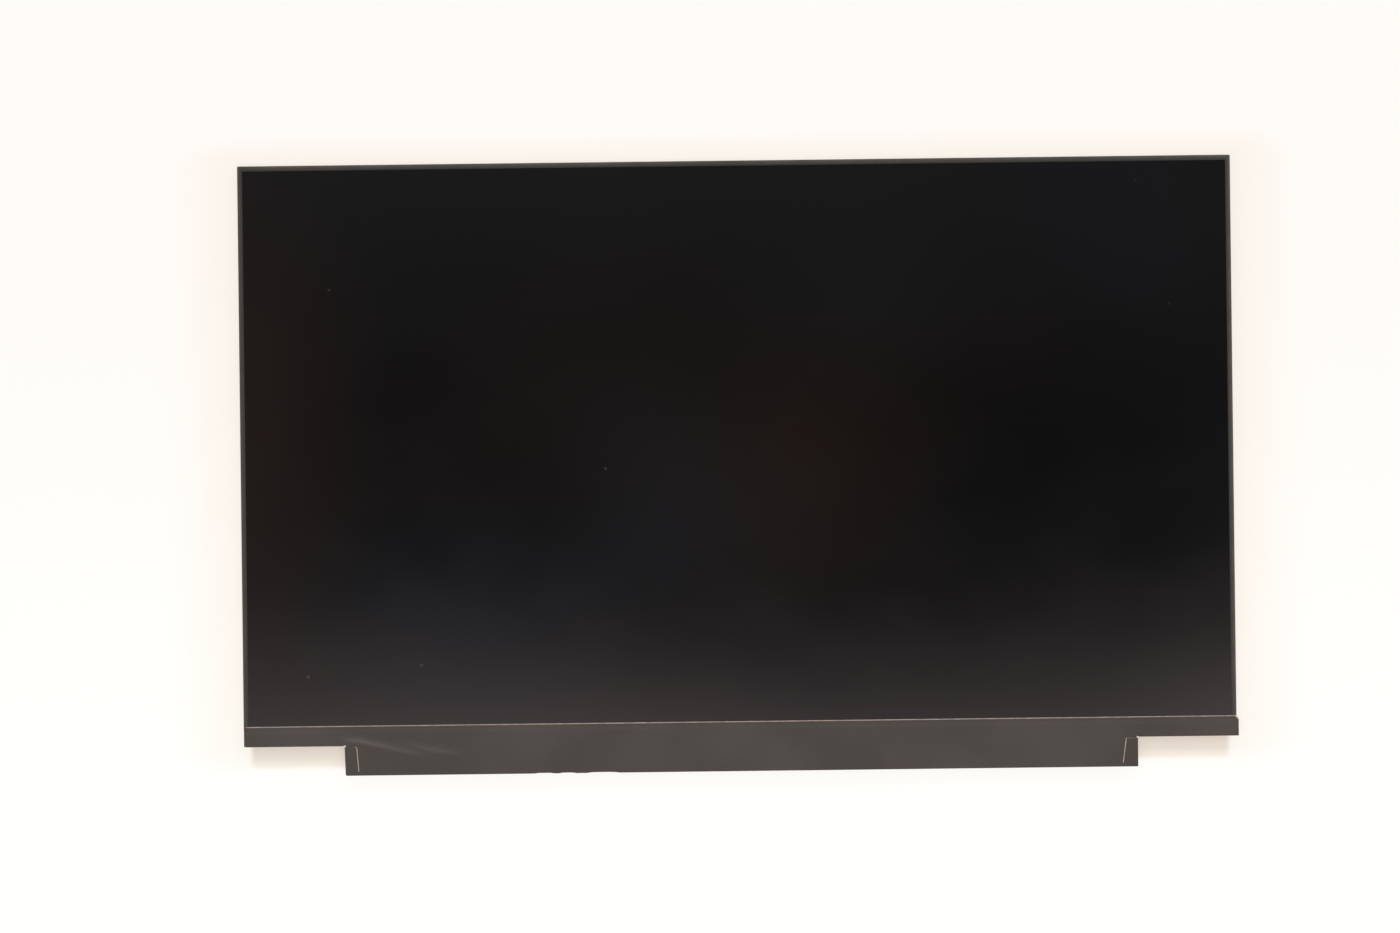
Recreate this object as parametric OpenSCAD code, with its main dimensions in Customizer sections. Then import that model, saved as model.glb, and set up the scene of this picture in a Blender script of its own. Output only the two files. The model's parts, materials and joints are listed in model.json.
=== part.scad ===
// Bare laptop screen panel: a thin liquid crystal display module that lies face up.
// Millimetres. The origin is the centre of the body's outline, on the rear face that it rests on.
// +X runs along the long side, +Y towards the picture's top edge, +Z out of the picture.
// The circuit board stands out past the lower edge, with its components towards the rear.

/* [Display cell] */
// Width of the picture area
active_w = 344.16; // [330:0.01:370]
// Height of the picture area
active_h = 193.59; // [180:0.01:215]
// Glass beyond the picture at the left and right
glass_side = 1.9; // [1.8:0.05:3]
// Glass beyond the picture at the top
glass_top = 1.95; // [1.8:0.05:3]
// Colour filter glass beyond the picture at the bottom
glass_bottom = 2.4; // [2.2:0.05:3]
// Array glass left bare below the colour filter glass, where the source films are bonded
bond_ledge = 2.3; // [2:0.05:3.5]
// Thickness of each glass
glass_t = 0.22; // [0.15:0.01:0.5]
// Front polarizer beyond the picture at the left, right and top
front_polarizer_border = 1.4; // [1:0.05:1.6]
// Front polarizer beyond the picture at the bottom
front_polarizer_bottom = 1.05; // [0.8:0.05:1.6]
// Thickness of the front polarizer
front_polarizer_t = 0.14; // [0.1:0.01:0.25]
// Rear polarizer beyond the picture on each side
rear_polarizer_border = 0.45; // [0.3:0.05:0.6]
// Thickness of the rear polarizer
rear_polarizer_t = 0.12; // [0.08:0.01:0.14]
// Corner radius of the polarizers
polarizer_r = 0.4; // [0.2:0.05:1]

/* [Backlight] */
// Thickness of the white reflector sheet
reflector_t = 0.2; // [0.12:0.01:0.25]
// Thickness of the light guide
guide_t = 0.55; // [0.45:0.01:0.8]
// Thickness of the lower diffuser
lower_diffuser_t = 0.12; // [0.08:0.01:0.2]
// Thickness of each prism sheet
prism_t = 0.14; // [0.1:0.01:0.2]
// Thickness of the upper diffuser
upper_diffuser_t = 0.1; // [0.05:0.01:0.2]
// Gap round the sheets, for their growth in warmth
sheet_gap = 0.25; // [0.1:0.05:0.4]
// Free height between the sheets and the frame's ledge
sheet_play = 0.05; // [0.02:0.01:0.15]
// Light guide beyond the picture at the bottom, where the light mixes
mixing_l = 2.7; // [2:0.1:3]
// Length of the locating ears of the sheets
ear_l = 8; // [4:0.5:12]
// Width of the locating ears of the sheets
ear_w = 0.35; // [0.3:0.05:0.4]
// Spacing of the light emitting diodes
led_pitch = 7.1; // [5:0.1:9]
// Length of one light emitting diode
led_l = 3.8; // [2.5:0.1:4.5]
// Depth of one light emitting diode
led_d = 1; // [0.8:0.05:1.4]
// Height of one light emitting diode
led_h = 0.5; // [0.3:0.05:0.55]
// Gap between the diodes and the light guide
led_gap = 0.1; // [0.05:0.05:0.3]
// Width of the light bar's film
bar_w = 5.1; // [4:0.1:5.3]
// Thickness of the light bar's film
bar_t = 0.12; // [0.08:0.01:0.15]
// Width of the tail that feeds the light bar
tail_w = 12; // [8:0.5:20]
// Place of the tail along the panel
tail_x = 101; // [92:1:112]
// Length of the tail that lies on the circuit board
tail_land = 3.8; // [2:0.1:6]

/* [Frame and rear plate] */
// Thickness of the moulded frame's wall
frame_wall = 0.92; // [0.8:0.01:1.6]
// Gap between the glass and the frame's wall
cell_gap = 0.12; // [0.05:0.01:0.3]
// Thickness of the ledge that carries the glass
ledge_t = 0.32; // [0.25:0.01:0.6]
// Thickness of the tape between the ledge and the glass
cell_tape_t = 0.1; // [0.05:0.01:0.2]
// Depth of the trough under the driver chips, below the glass
chip_trough = 2.25; // [2:0.05:4]
// Gap between the frame and the rear plate's walls
frame_gap = 0.05; // [0.05:0.01:0.2]
// Thickness of the rear plate's sheet
plate_t = 0.2; // [0.15:0.01:0.3]
// Inner radius of the rear plate's bends
bend_in = 0.1; // [0.05:0.01:0.12]
// Height of the rear plate's raised middle
emboss_h = 0.1; // [0.1:0.01:0.3]
// Margin round the raised middle
emboss_margin = 7; // [5:0.5:15]
// Corner radius of the raised middle
emboss_r = 6; // [2:0.5:12]
// Radius of the tooling holes in the rear plate
tool_hole_r = 1.5; // [1:0.1:2.5]
// Length of one snap hook
hook_l = 6; // [3:0.5:10]
// Height of one snap hook
hook_h = 0.5; // [0.3:0.05:0.7]
// Clearance round a snap hook in its window
hook_gap = 0.12; // [0.05:0.01:0.2]
// Spacing of the snap hooks along the top and bottom
hook_pitch_x = 64; // [45:1:75]
// Spacing of the snap hooks along the left and right
hook_pitch_y = 66; // [50:1:80]

/* [Tapes] */
// Thickness of the black tape round the left, top and right edges
edge_tape_t = 0.06; // [0.04:0.01:0.08]
// Width of the edge tape on the rear plate
edge_tape_back = 3.5; // [2:0.1:4.5]
// Gap between the edge tape and the front polarizer
tape_gap = 0.1; // [0.05:0.01:0.3]
// Thickness of the cover tape's black film
black_film_t = 0.05; // [0.03:0.01:0.06]
// Thickness of the cover tape's pale adhesive
adhesive_t = 0.03; // [0.02:0.005:0.04]
// Pale adhesive that shows above the black film's upper edge
adhesive_show = 0.26; // [0.1:0.01:0.5]
// Gap between the cover tape and the front polarizer
cover_gap = 0.1; // [0.08:0.01:0.3]
// Width of the cover tape's folded flaps on the rear plate
flap_back = 3; // [1.5:0.1:5]
// Cover tape that stands out past the body's right edge
overhang = 0.77; // [0.2:0.01:1.2]
// Edge tape left bare beside the cover tape's left end
left_bare = 0.7; // [0.3:0.05:1.5]
// Radius of the relief notches where the flaps meet the tab
notch_r = 0.5; // [0.3:0.05:0.8]
// Width of the two slits in the black film at the board's ends
slit_w = 0.26; // [0.15:0.01:0.4]
// Black film left whole below the two slits
slit_end = 1.4; // [0.6:0.1:2]
// Left slit's top past the board's left end
slit_left = 0.35; // [0.2:0.05:1.5]
// Right slit's top past the board's right end
slit_right = 1.25; // [0.2:0.05:1.5]
// How far the left slit leans inwards from top to bottom
left_lean = 0.6; // [0:0.05:1.5]
// How far the right slit leans inwards from top to bottom
right_lean = 1.2; // [0:0.05:1.5]
// Radius of the hook at the left slit's top
slit_hook = 0.7; // [0.3:0.05:1]
// Width of the fine cut from the right slit's top towards the tab's side
side_cut_w = 0.1; // [0.05:0.01:0.2]
// Length of that fine cut
side_cut_l = 3.8; // [1:0.1:3.8]
// Cover tape past the board's left end
tape_end_left = 4.7; // [4.5:0.05:6]
// Cover tape past the board's right end
tape_end_right = 5.35; // [4.5:0.05:6]
// Cover tape past the board's lower edge
tape_lip = 0.3; // [0.25:0.01:0.4]
// How far the tab's left side leans inwards from top to bottom
tab_lean = 0.3; // [0:0.05:1]
// Corner radius of the tab at its lower left
tab_corner = 0.6; // [0.3:0.05:1.5]
// Corner cut of the cover tape at its upper right
end_corner = 1.3; // [0.5:0.1:2]
// Inner radius of the folds in the tapes
fold_r = 0.12; // [0.05:0.01:0.2]
// Corner radius of the tapes at the body's corners
body_r = 0.5; // [0.3:0.05:0.6]

/* [Circuit board] */
// Length of the board
board_l = 270.2; // [262:0.1:280]
// Width of the board
board_w = 9.8; // [9.4:0.1:14]
// Thickness of the board
board_t = 0.5; // [0.4:0.05:0.6]
// Gap between the body and the board
board_gap = 0.35; // [0.2:0.05:1]
// Radius of the board's corners
board_r = 0.8; // [0.3:0.1:1.5]
// Radius of the board's tooling holes
board_hole_r = 0.75; // [0.5:0.05:0.8]
// Number of source films
source_count = 4; // [4:1:4]
// Spacing of the source films
source_pitch = 74; // [60:1:76]
// Width of one source film at the glass
source_w = 38; // [30:1:45]
// Thickness of the source films
source_t = 0.04; // [0.03:0.005:0.06]
// Bond of a source film on the glass
source_on_glass = 1.3; // [0.8:0.1:1.8]
// Bond of a source film on the board
source_on_board = 1.5; // [1:0.1:2]
// Length of one driver chip
driver_l = 18; // [12:0.5:24]
// Width of one driver chip
driver_w = 1; // [0.8:0.1:1.4]
// Height of one driver chip
driver_h = 0.26; // [0.2:0.01:0.28]
// Thickness of the clear film behind the board
board_film_t = 0.075; // [0.05:0.005:0.1]
// Clear film's hold on the rear plate
film_hold = 4; // [2.5:0.1:5]
// Gap between the film and the tallest component
film_gap = 0.06; // [0.03:0.01:0.2]

/* [Components] */
// Side of the timing controller
timing_l = 7; // [6:0.5:8]
// Height of the timing controller
timing_h = 0.85; // [0.6:0.05:1]
// Side of the panel's power chip
power_l = 5; // [4:0.5:6]
// Side of the backlight driver
light_driver_l = 4; // [3:0.5:5]
// Side of the level shifter
shifter_l = 4; // [3:0.5:5]
// Height of the small chips
chip_h = 0.75; // [0.5:0.05:0.9]
// Side of the backlight's coil
boost_coil_l = 5; // [4:0.5:6]
// Height of the backlight's coil
boost_coil_h = 1.2; // [0.9:0.05:1.2]
// Side of the logic supply's coil
logic_coil_l = 3; // [2.5:0.5:4]
// Height of the logic supply's coil
logic_coil_h = 1; // [0.7:0.05:1.1]

/* [Display connector] */
// Number of contacts
contact_count = 30; // [20:10:40]
// Spacing of the contacts
contact_pitch = 0.5; // [0.4:0.1:0.5]
// Middle of the connector from the board's left end
socket_from_end = 30; // [22:1:40]
// Depth of the connector
socket_d = 4.3; // [3.8:0.1:5]
// Height of the connector over the board
socket_h = 1.2; // [1.1:0.05:1.2]
// Insulator beside the outermost contacts
socket_side = 1.4; // [1.2:0.1:2.5]
// Thickness of the connector's shell
shell_t = 0.12; // [0.1:0.01:0.15]

/* [Hidden] */
$fn = 32;
// Overlap that a cut has past a face
cut = 1;

// Outline in X, as distances from the middle
glass_x = active_w / 2 + glass_side;
wall_in_x = glass_x + cell_gap;
wall_out_x = wall_in_x + frame_wall;
plate_in_x = wall_out_x + frame_gap;
plate_out_x = plate_in_x + plate_t;
body_x = plate_out_x + edge_tape_t;
ledge_x = active_w / 2 + rear_polarizer_border + 0.1;

// Outline in Y
cover_t = black_film_t + adhesive_t;
top_border = glass_top + cell_gap + frame_wall + frame_gap + plate_t + edge_tape_t;
bottom_border = glass_bottom + bond_ledge + cell_gap + chip_trough + frame_wall + frame_gap
    + plate_t + cover_t;
body_top = (active_h + top_border + bottom_border) / 2;
body_bottom = -body_top;
active_top = body_top - top_border;
active_bottom = active_top - active_h;
glass_y = active_top + glass_top;
filter_y = active_bottom - glass_bottom;
array_y = filter_y - bond_ledge;
wall_in_top = glass_y + cell_gap;
wall_out_top = wall_in_top + frame_wall;
wall_in_bottom = array_y - cell_gap - chip_trough;
wall_out_bottom = wall_in_bottom - frame_wall;
bend_r = bend_in + plate_t;
plate_top = wall_out_top + frame_gap + plate_t;
plate_bottom = wall_out_bottom - frame_gap - plate_t;
ledge_top = active_top + rear_polarizer_border + 0.1;
ledge_bottom = active_bottom - rear_polarizer_border - 0.1;

// Heights over the surface that the panel rests on
seat_z = emboss_h + plate_t;
guide_z = seat_z + reflector_t;
lower_diffuser_z = guide_z + guide_t;
lower_prism_z = lower_diffuser_z + lower_diffuser_t;
upper_prism_z = lower_prism_z + prism_t;
upper_diffuser_z = upper_prism_z + prism_t;
ledge_z = upper_diffuser_z + upper_diffuser_t + sheet_play;
cell_tape_z = ledge_z + ledge_t;
array_z = cell_tape_z + cell_tape_t;
filter_z = array_z + glass_t;
tape_z = filter_z + glass_t;
frame_z = seat_z + 0.03;
film_z = filter_z + source_t;
chin_z = filter_z - 0.02;
plate_wall_z = tape_z - fold_r - 0.02;
chin_wall_z = chin_z - fold_r - 0.02;
bar_tape_t = 0.05;
bar_z = seat_z + bar_tape_t;

// Light bar
guide_y = active_bottom - mixing_l;
led_y = guide_y - led_gap - led_d;
bar_top = active_bottom - 1.5;
led_count = 2 * floor((active_w - led_l) / led_pitch / 2);
sheet_x = wall_in_x - sheet_gap;
sheet_top = wall_in_top - sheet_gap;
sheet_bottom = active_bottom - 2.2;

// Circuit board
board_top = body_bottom - board_gap;
board_bottom = board_top - board_w;
board_z = filter_z - board_t;
tab_bottom = board_bottom - tape_lip;
tab_left = -board_l / 2 - tape_end_left;
tab_right = board_l / 2 + tape_end_right;
socket_x = -board_l / 2 + socket_from_end;
socket_y = board_bottom + 0.1;
board_film_z = board_z - max(socket_h, boost_coil_h) - film_gap - board_film_t;

// Points of a quarter turn or other arc
function arc(centre, r, from, to, steps = 4) =
    [for (i = [0 : steps]) let (a = from + (to - from) * i / steps)
        centre + r * [cos(a), sin(a)]];

function unit(v) = v / norm(v);
function left_of(v) = [-v[1], v[0]];

// Offset of point i of a path towards its left, mitred at the corner
function shifted(path, i, d) =
    let (n = len(path),
        before = unit(path[max(i, 1)] - path[max(i, 1) - 1]),
        after = unit(path[min(i + 1, n - 1)] - path[min(i + 1, n - 1) - 1]),
        side = unit(left_of(before) + left_of(after)))
    path[i] + side * d / (side * left_of(before));

// Outline of a strip of thickness t that lies on the left of a path
function strip(path, t) =
    concat(path, [for (i = [len(path) - 1 : -1 : 0]) shifted(path, i, t)]);

// Extrudes a profile drawn in Y and Z along X
module along_x(from, to) {
    translate([from, 0, 0]) rotate([90, 0, 90]) linear_extrude(to - from) children();
}

// Extrudes a profile drawn in X and Z along Y
module along_y(from, to) {
    translate([0, to, 0]) rotate([90, 0, 0]) linear_extrude(to - from) children();
}

// Flat plate between two corners
module slab(low, high, z, t) {
    translate([low[0], low[1], z]) cube([high[0] - low[0], high[1] - low[1], t]);
}

// Flat plate with round corners
module round_slab(low, high, r, z, t) {
    translate([0, 0, z]) linear_extrude(t) round_outline(low, high, r);
}

module round_outline(low, high, r) {
    translate([low[0] + r, low[1]]) square([high[0] - low[0] - 2 * r, high[1] - low[1]]);
    translate([low[0], low[1] + r]) square([high[0] - low[0], high[1] - low[1] - 2 * r]);
    for (x = [low[0] + r, high[0] - r], y = [low[1] + r, high[1] - r])
        translate([x, y]) circle(r);
}

// Display cell

module front_polarizer() {
    b = front_polarizer_border;
    color("#141414")
    round_slab([-active_w / 2 - b, active_bottom - front_polarizer_bottom],
        [active_w / 2 + b, active_top + b], polarizer_r, tape_z, front_polarizer_t);
}

module rear_polarizer() {
    b = rear_polarizer_border;
    color("#303034")
    round_slab([-active_w / 2 - b, active_bottom - b], [active_w / 2 + b, active_top + b],
        polarizer_r, array_z - rear_polarizer_t, rear_polarizer_t);
}

// Glass sheet with its corners ground off
module glass_sheet(bottom, z) {
    c = 0.5;
    translate([0, 0, z]) linear_extrude(glass_t) polygon([
        [-glass_x + c, bottom], [glass_x - c, bottom], [glass_x, bottom + c],
        [glass_x, glass_y - c], [glass_x - c, glass_y], [-glass_x + c, glass_y],
        [-glass_x, glass_y - c], [-glass_x, bottom + c]]);
}

module colour_filter_glass() {
    color("#0c0d10") glass_sheet(filter_y, filter_z);
}

module array_glass() {
    color("#39424a") glass_sheet(array_y, array_z);
}

module cell_tape() {
    inset = 0.12;
    color("#1a1a1a") difference() {
        slab([-glass_x + inset, array_y + inset], [glass_x - inset, glass_y - inset],
            cell_tape_z, cell_tape_t);
        slab([-ledge_x - inset, ledge_bottom - inset], [ledge_x + inset, ledge_top + inset],
            cell_tape_z - cut, cell_tape_t + 2 * cut);
    }
}

// Frame

hooks_x = [for (i = [-2 : 2]) i * hook_pitch_x];
hooks_y = [for (i = [-1 : 1]) i * hook_pitch_y];
bottom_hooks_x = [for (x = hooks_x) if (abs(x - tail_x) > (tail_w + hook_l) / 2 + 2) x];
hook_z = seat_z + 0.6;

// Boxes at every snap hook, grown by the clearance of its window
module hooks(grow, depth) {
    l = hook_l + 2 * grow;
    h = hook_h + 2 * grow;
    for (y = hooks_y, side = [-1, 1])
        translate([side * (wall_out_x + depth / 2), y, hook_z]) cube([depth, l, h], center = true);
    for (x = hooks_x)
        translate([x, wall_out_top + depth / 2, hook_z]) cube([l, depth, h], center = true);
    for (x = bottom_hooks_x)
        translate([x, wall_out_bottom - depth / 2, hook_z]) cube([l, depth, h], center = true);
}

// Outline of a sheet of the backlight, with its locating ears grown by g
ear_places_y = [-hook_pitch_y / 2, hook_pitch_y / 2];
ear_places_x = [-hook_pitch_x * 1.5, 0, hook_pitch_x * 1.5];

module ears(g) {
    half = ear_l / 2 + g;
    reach = sheet_gap + ear_w + g;
    for (y = ear_places_y, side = [-1, 1])
        translate([side < 0 ? -sheet_x - reach : sheet_x - cut, y - half])
            square([reach + cut, 2 * half]);
    for (x = ear_places_x)
        translate([x - half, sheet_top - cut]) square([2 * half, reach + cut]);
}

module sheet_outline(bottom) {
    translate([-sheet_x, bottom]) square([2 * sheet_x, sheet_top - bottom]);
    ears(0);
}

module frame_body() {
    // Left, top and right walls, up to the colour filter glass's face
    for (side = [-1, 1])
        slab([side < 0 ? -wall_out_x : wall_in_x, filter_y],
            [side < 0 ? -wall_in_x : wall_out_x, wall_out_top], frame_z, tape_z - frame_z);
    slab([-wall_out_x, wall_in_top], [wall_out_x, wall_out_top], frame_z, tape_z - frame_z);
    // Lower part of the side walls and the lower wall, under the source films
    for (side = [-1, 1])
        slab([side < 0 ? -wall_out_x : wall_in_x, wall_out_bottom],
            [side < 0 ? -wall_in_x : wall_out_x, filter_y], frame_z, chin_z - frame_z);
    slab([-wall_out_x, wall_out_bottom], [wall_out_x, wall_in_bottom], frame_z, chin_z - frame_z);
    // Ledge under the glass, with the floor of the chip trough
    difference() {
        slab([-wall_in_x, wall_in_bottom], [wall_in_x, wall_in_top], ledge_z, ledge_t);
        slab([-ledge_x, ledge_bottom], [ledge_x, ledge_top], ledge_z - cut, ledge_t + 2 * cut);
    }
    hooks(0, frame_gap + plate_t - 0.05);
}

module mould_frame() {
    ear_clear = 0.05;
    color("#202020") difference() {
        frame_body();
        // Pockets for the ears of the sheets
        translate([0, 0, frame_z - cut])
            linear_extrude(ledge_z - frame_z + cut) ears(ear_clear);
        // Way out for the light bar's tail
        slab([tail_x - tail_w / 2 - 0.5, wall_out_bottom - cut],
            [tail_x + tail_w / 2 + 0.5, wall_in_bottom + 0.5], frame_z - cut, 0.6 + cut);
    }
}

// Backlight

module backlight_sheet(z, t, bottom = sheet_bottom) {
    translate([0, 0, z]) linear_extrude(t) sheet_outline(bottom);
}

module upper_diffuser() {
    color("#eceef0") backlight_sheet(upper_diffuser_z, upper_diffuser_t);
}

module upper_prism_sheet() {
    color("#dfe6ea") backlight_sheet(upper_prism_z, prism_t);
}

module lower_prism_sheet() {
    color("#d7e0e6") backlight_sheet(lower_prism_z, prism_t);
}

module lower_diffuser() {
    color("#f2f3f4") backlight_sheet(lower_diffuser_z, lower_diffuser_t);
}

module light_guide() {
    color("#cfe3ea") backlight_sheet(guide_z, guide_t, guide_y);
}

module reflector_sheet() {
    color("#fafafa") backlight_sheet(seat_z, reflector_t, bar_top + 0.2);
}

// Path of the tail's underside, from the light bar out to the board's rear face
function tail_path() =
    let (land_z = board_z - bar_t, start = bar_top - bar_w)
    concat([[bar_top, bar_z]],
        [[start, bar_z], [plate_bottom + 0.1, bar_z + 0.1]],
        [[body_bottom - 0.6, bar_z + 0.35], [board_top - 1.3, land_z - 0.25]],
        [[board_top - 2.1, land_z], [board_top - 2.1 - tail_land, land_z]]);

module light_bar_film() {
    half = wall_in_x - 2;
    color("#c98a2b") {
        slab([-half, bar_top - bar_w], [half, bar_top], bar_z, bar_t);
        along_x(tail_x - tail_w / 2, tail_x + tail_w / 2)
            polygon(strip([for (i = [len(tail_path()) - 1 : -1 : 0]) tail_path()[i]], bar_t));
    }
}

// One diode, with the recess of its window on the side of the light guide
module led() {
    window_d = 0.06;
    rim = 0.1;
    difference() {
        cube([led_l, led_d, led_h]);
        translate([3 * rim, led_d - window_d, rim])
            cube([led_l - 6 * rim, window_d + cut, led_h - 2 * rim]);
    }
}

module light_bar_leds() {
    color("#f4f1df")
    for (i = [0 : led_count - 1])
        translate([(i - (led_count - 1) / 2) * led_pitch - led_l / 2, led_y, bar_z + bar_t]) led();
}

module light_bar_tape() {
    half = wall_in_x - 3;
    color("#9aa0a4")
    slab([-half, bar_top - bar_w + 0.2], [half, bar_top - 0.2], seat_z, bar_tape_t);
}

// Rear plate

// Profile of a bend and its wall, from the flat floor at u = 0 outwards
function bend_profile(h) =
    concat([[0, emboss_h]], arc([0, emboss_h + bend_r], bend_r, -90, 0),
        [[bend_r, h], [bend_r - plate_t, h]],
        arc([0, emboss_h + bend_r], bend_r - plate_t, 0, -90));

module bent_wall(length, h) {
    along_x(-length / 2, length / 2) polygon(bend_profile(h));
}

module plate_floor() {
    x = plate_out_x - bend_r;
    corner = 0.9;
    top = plate_top - bend_r;
    bottom = plate_bottom + bend_r;
    low = [-plate_out_x + emboss_margin, plate_bottom + emboss_margin + bar_w];
    high = [plate_out_x - emboss_margin, plate_top - emboss_margin];
    difference() {
        translate([0, 0, emboss_h]) linear_extrude(plate_t) polygon([
            [-x + corner, bottom], [x - corner, bottom], [x, bottom + corner],
            [x, top - corner], [x - corner, top], [-x + corner, top],
            [-x, top - corner], [-x, bottom + corner]]);
        round_slab(low, high, emboss_r, emboss_h - cut, plate_t + 2 * cut);
    }
    // The raised middle, with the wall of its step as thick as the sheet
    round_slab(low, high, emboss_r, 0, plate_t);
    difference() {
        round_slab(low, high, emboss_r, 0, emboss_h + plate_t);
        round_slab(low + [plate_t, plate_t], high - [plate_t, plate_t], emboss_r - plate_t,
            -cut, emboss_h + plate_t + 2 * cut);
    }
}

module rear_plate() {
    corner = 1.2;
    wall_l_x = 2 * (plate_out_x - bend_r - corner);
    wall_l_y = plate_top - plate_bottom - 2 * (bend_r + corner);
    middle = (plate_top + plate_bottom) / 2;
    hole_x = plate_out_x - 2.6 * emboss_margin;
    hole_y = plate_top - 3.4 * emboss_margin;
    color("#b9bcc0") difference() {
        union() {
            plate_floor();
            translate([0, plate_top - bend_r, 0]) bent_wall(wall_l_x, plate_wall_z);
            translate([0, plate_bottom + bend_r, 0]) rotate(180) bent_wall(wall_l_x, chin_wall_z);
            translate([plate_out_x - bend_r, middle, 0]) rotate(-90) bent_wall(wall_l_y, plate_wall_z);
            translate([-plate_out_x + bend_r, middle, 0]) rotate(90) bent_wall(wall_l_y, plate_wall_z);
        }
        // Windows for the snap hooks
        hooks(hook_gap, 2 * (frame_gap + plate_t));
        // Lower stretch of the side walls, under the cover tape
        slab([-body_x, body_bottom], [body_x, filter_y + 0.2], chin_wall_z, 1);
        // Notch for the light bar's tail
        slab([tail_x - tail_w / 2 - 0.8, plate_bottom - cut],
            [tail_x + tail_w / 2 + 0.8, plate_bottom + bend_r + 0.6], emboss_h - cut, 1 + cut);
        // Tooling holes
        for (x = [-hole_x, hole_x], y = [-hole_y, hole_y])
            translate([x, y, -cut]) cylinder(r = tool_hole_r, h = plate_t + 2 * cut);
    }
}

// Edge tapes

// Path of the tape's inner face, from its edge on the front round the side to the rear plate
function tape_path(front, side, back, top_z) =
    concat([[front, top_z]], arc([side - fold_r, top_z - fold_r], fold_r, 90, 0),
        arc([side - fold_r, emboss_h + fold_r], fold_r, 0, -90), [[side - back, emboss_h]]);

// Tape that folds over an edge; the profile's first axis points outwards
module edge_tape(front, side, length, top_z = tape_z) {
    along_x(-length / 2, length / 2)
        polygon(strip(tape_path(front, side, edge_tape_back, top_z), edge_tape_t));
}

side_front_x = active_w / 2 + front_polarizer_border + tape_gap;
cover_top = active_bottom - front_polarizer_bottom - cover_gap;
tape_step_y = filter_y - 0.02;
tape_corner_y = plate_top - 0.02;

module rounded_body(z, t) {
    round_slab([-body_x, body_bottom], [body_x, body_top], body_r, z, t);
}

// Right edge tape; the left one is its mirror image. bare: tape left free beside the cover tape
module side_edge_tape(bare) {
    upper_l = tape_corner_y - tape_step_y;
    lower_l = tape_step_y - plate_bottom - 0.02;
    intersection() {
        difference() {
            union() {
                translate([0, tape_corner_y - upper_l / 2, 0]) rotate(-90)
                    edge_tape(side_front_x, plate_out_x, upper_l);
                translate([0, tape_step_y - lower_l / 2, 0]) rotate(-90)
                    edge_tape(wall_in_x + 0.05, plate_out_x, lower_l, chin_z);
            }
            // Front flange gives way to the cover tape
            slab([side_front_x - cut, body_bottom], [body_x - bare + 0.05, cover_top + 0.05],
                tape_z - 0.01, 1);
            // Rear flange and lower end give way to the cover tape's flap
            slab([0, body_bottom - cut], [body_x - bare + 0.05, plate_bottom + flap_back + 0.1],
                -cut, emboss_h + cut + 0.01);
            slab([0, body_bottom - cut], [body_x - bare + 0.05, plate_bottom + fold_r + 0.02],
                -cut, 5);
        }
        rounded_body(-cut, 5);
    }
}

module left_edge_tape() {
    color("#262524") mirror([1, 0, 0]) side_edge_tape(left_bare);
}

module right_edge_tape() {
    color("#262524") side_edge_tape(-cut);
}

module top_edge_tape() {
    front_y = active_top + front_polarizer_border + tape_gap;
    reach = side_front_x - 0.02;
    back_x = plate_out_x - edge_tape_back - 0.05;
    color("#262524") intersection() {
        difference() {
            edge_tape(front_y, plate_top, 2 * (plate_out_x - 0.02));
            // Corners, where the side tapes lie
            for (side = [-1, 1]) {
                slab([side < 0 ? -body_x : reach, front_y - cut],
                    [side < 0 ? -reach : body_x, body_top + cut], tape_z - 0.01, 1);
                slab([side < 0 ? -body_x : back_x, front_y - edge_tape_back - cut],
                    [side < 0 ? -back_x : body_x, body_top + cut], -cut, emboss_h + cut + 0.01);
            }
        }
        rounded_body(-cut, 5);
    }
}

// Cover tape

cover_left = -body_x + left_bare;
cover_right = body_x + overhang;
slope_foot = filter_y - 1.35;
slope_head = filter_y - 0.2;

// Inner face of the cover tape, from the flap's edge on the rear plate to the tape's upper edge
cover_path = concat([[plate_bottom + flap_back, emboss_h]],
    arc([plate_bottom + fold_r, emboss_h + fold_r], fold_r, 270, 180),
    arc([plate_bottom + fold_r, film_z - fold_r], fold_r, 180, 90),
    [[slope_foot, film_z], [slope_head, tape_z]]);

// Outline of one layer of the tape between two distances from its inner face
function layer(path, from, to) =
    concat([for (i = [0 : len(path) - 1]) shifted(path, i, from)],
        [for (i = [len(path) - 1 : -1 : 0]) shifted(path, i, to)]);

// Leaning slits in the black film beside the board's ends, from below the body's edge downwards
slit_top = body_bottom - 0.35;
slit_bottom = tab_bottom + slit_end;
left_slit_x = -board_l / 2 - slit_left;
right_slit_x = board_l / 2 + slit_right;

module slit(top_x, top, lean) {
    w = slit_w / 2;
    polygon([[top_x - w, top], [top_x + w, top], [top_x + lean + w, slit_bottom],
        [top_x + lean - w, slit_bottom]]);
}

module slits() {
    // Left slit, with a hook of a quarter ring towards the tab's left side
    middle = [left_slit_x - slit_hook, slit_top - slit_hook];
    slit(left_slit_x, middle[1] + 0.01, left_lean);
    polygon(concat(arc(middle, slit_hook + slit_w / 2, 0, 90, 6),
        arc(middle, slit_hook - slit_w / 2, 90, 0, 6)));
    // Right slit, with a fine cut towards the tab's right side
    slit(right_slit_x, slit_top, -right_lean);
    translate([right_slit_x, slit_top - side_cut_w]) square([side_cut_l, side_cut_w]);
}

// Outline of the tab, with its leaning left side and its round lower left corner
module tab_outline() {
    low_x = tab_left + tab_lean;
    r = tab_corner;
    polygon(concat([[tab_left, plate_bottom + 2 * fold_r]],
        arc([low_x + r, tab_bottom + r], r, 180, 270, 6),
        [[tab_right, tab_bottom], [tab_right, plate_bottom + 2 * fold_r]]));
}

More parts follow.
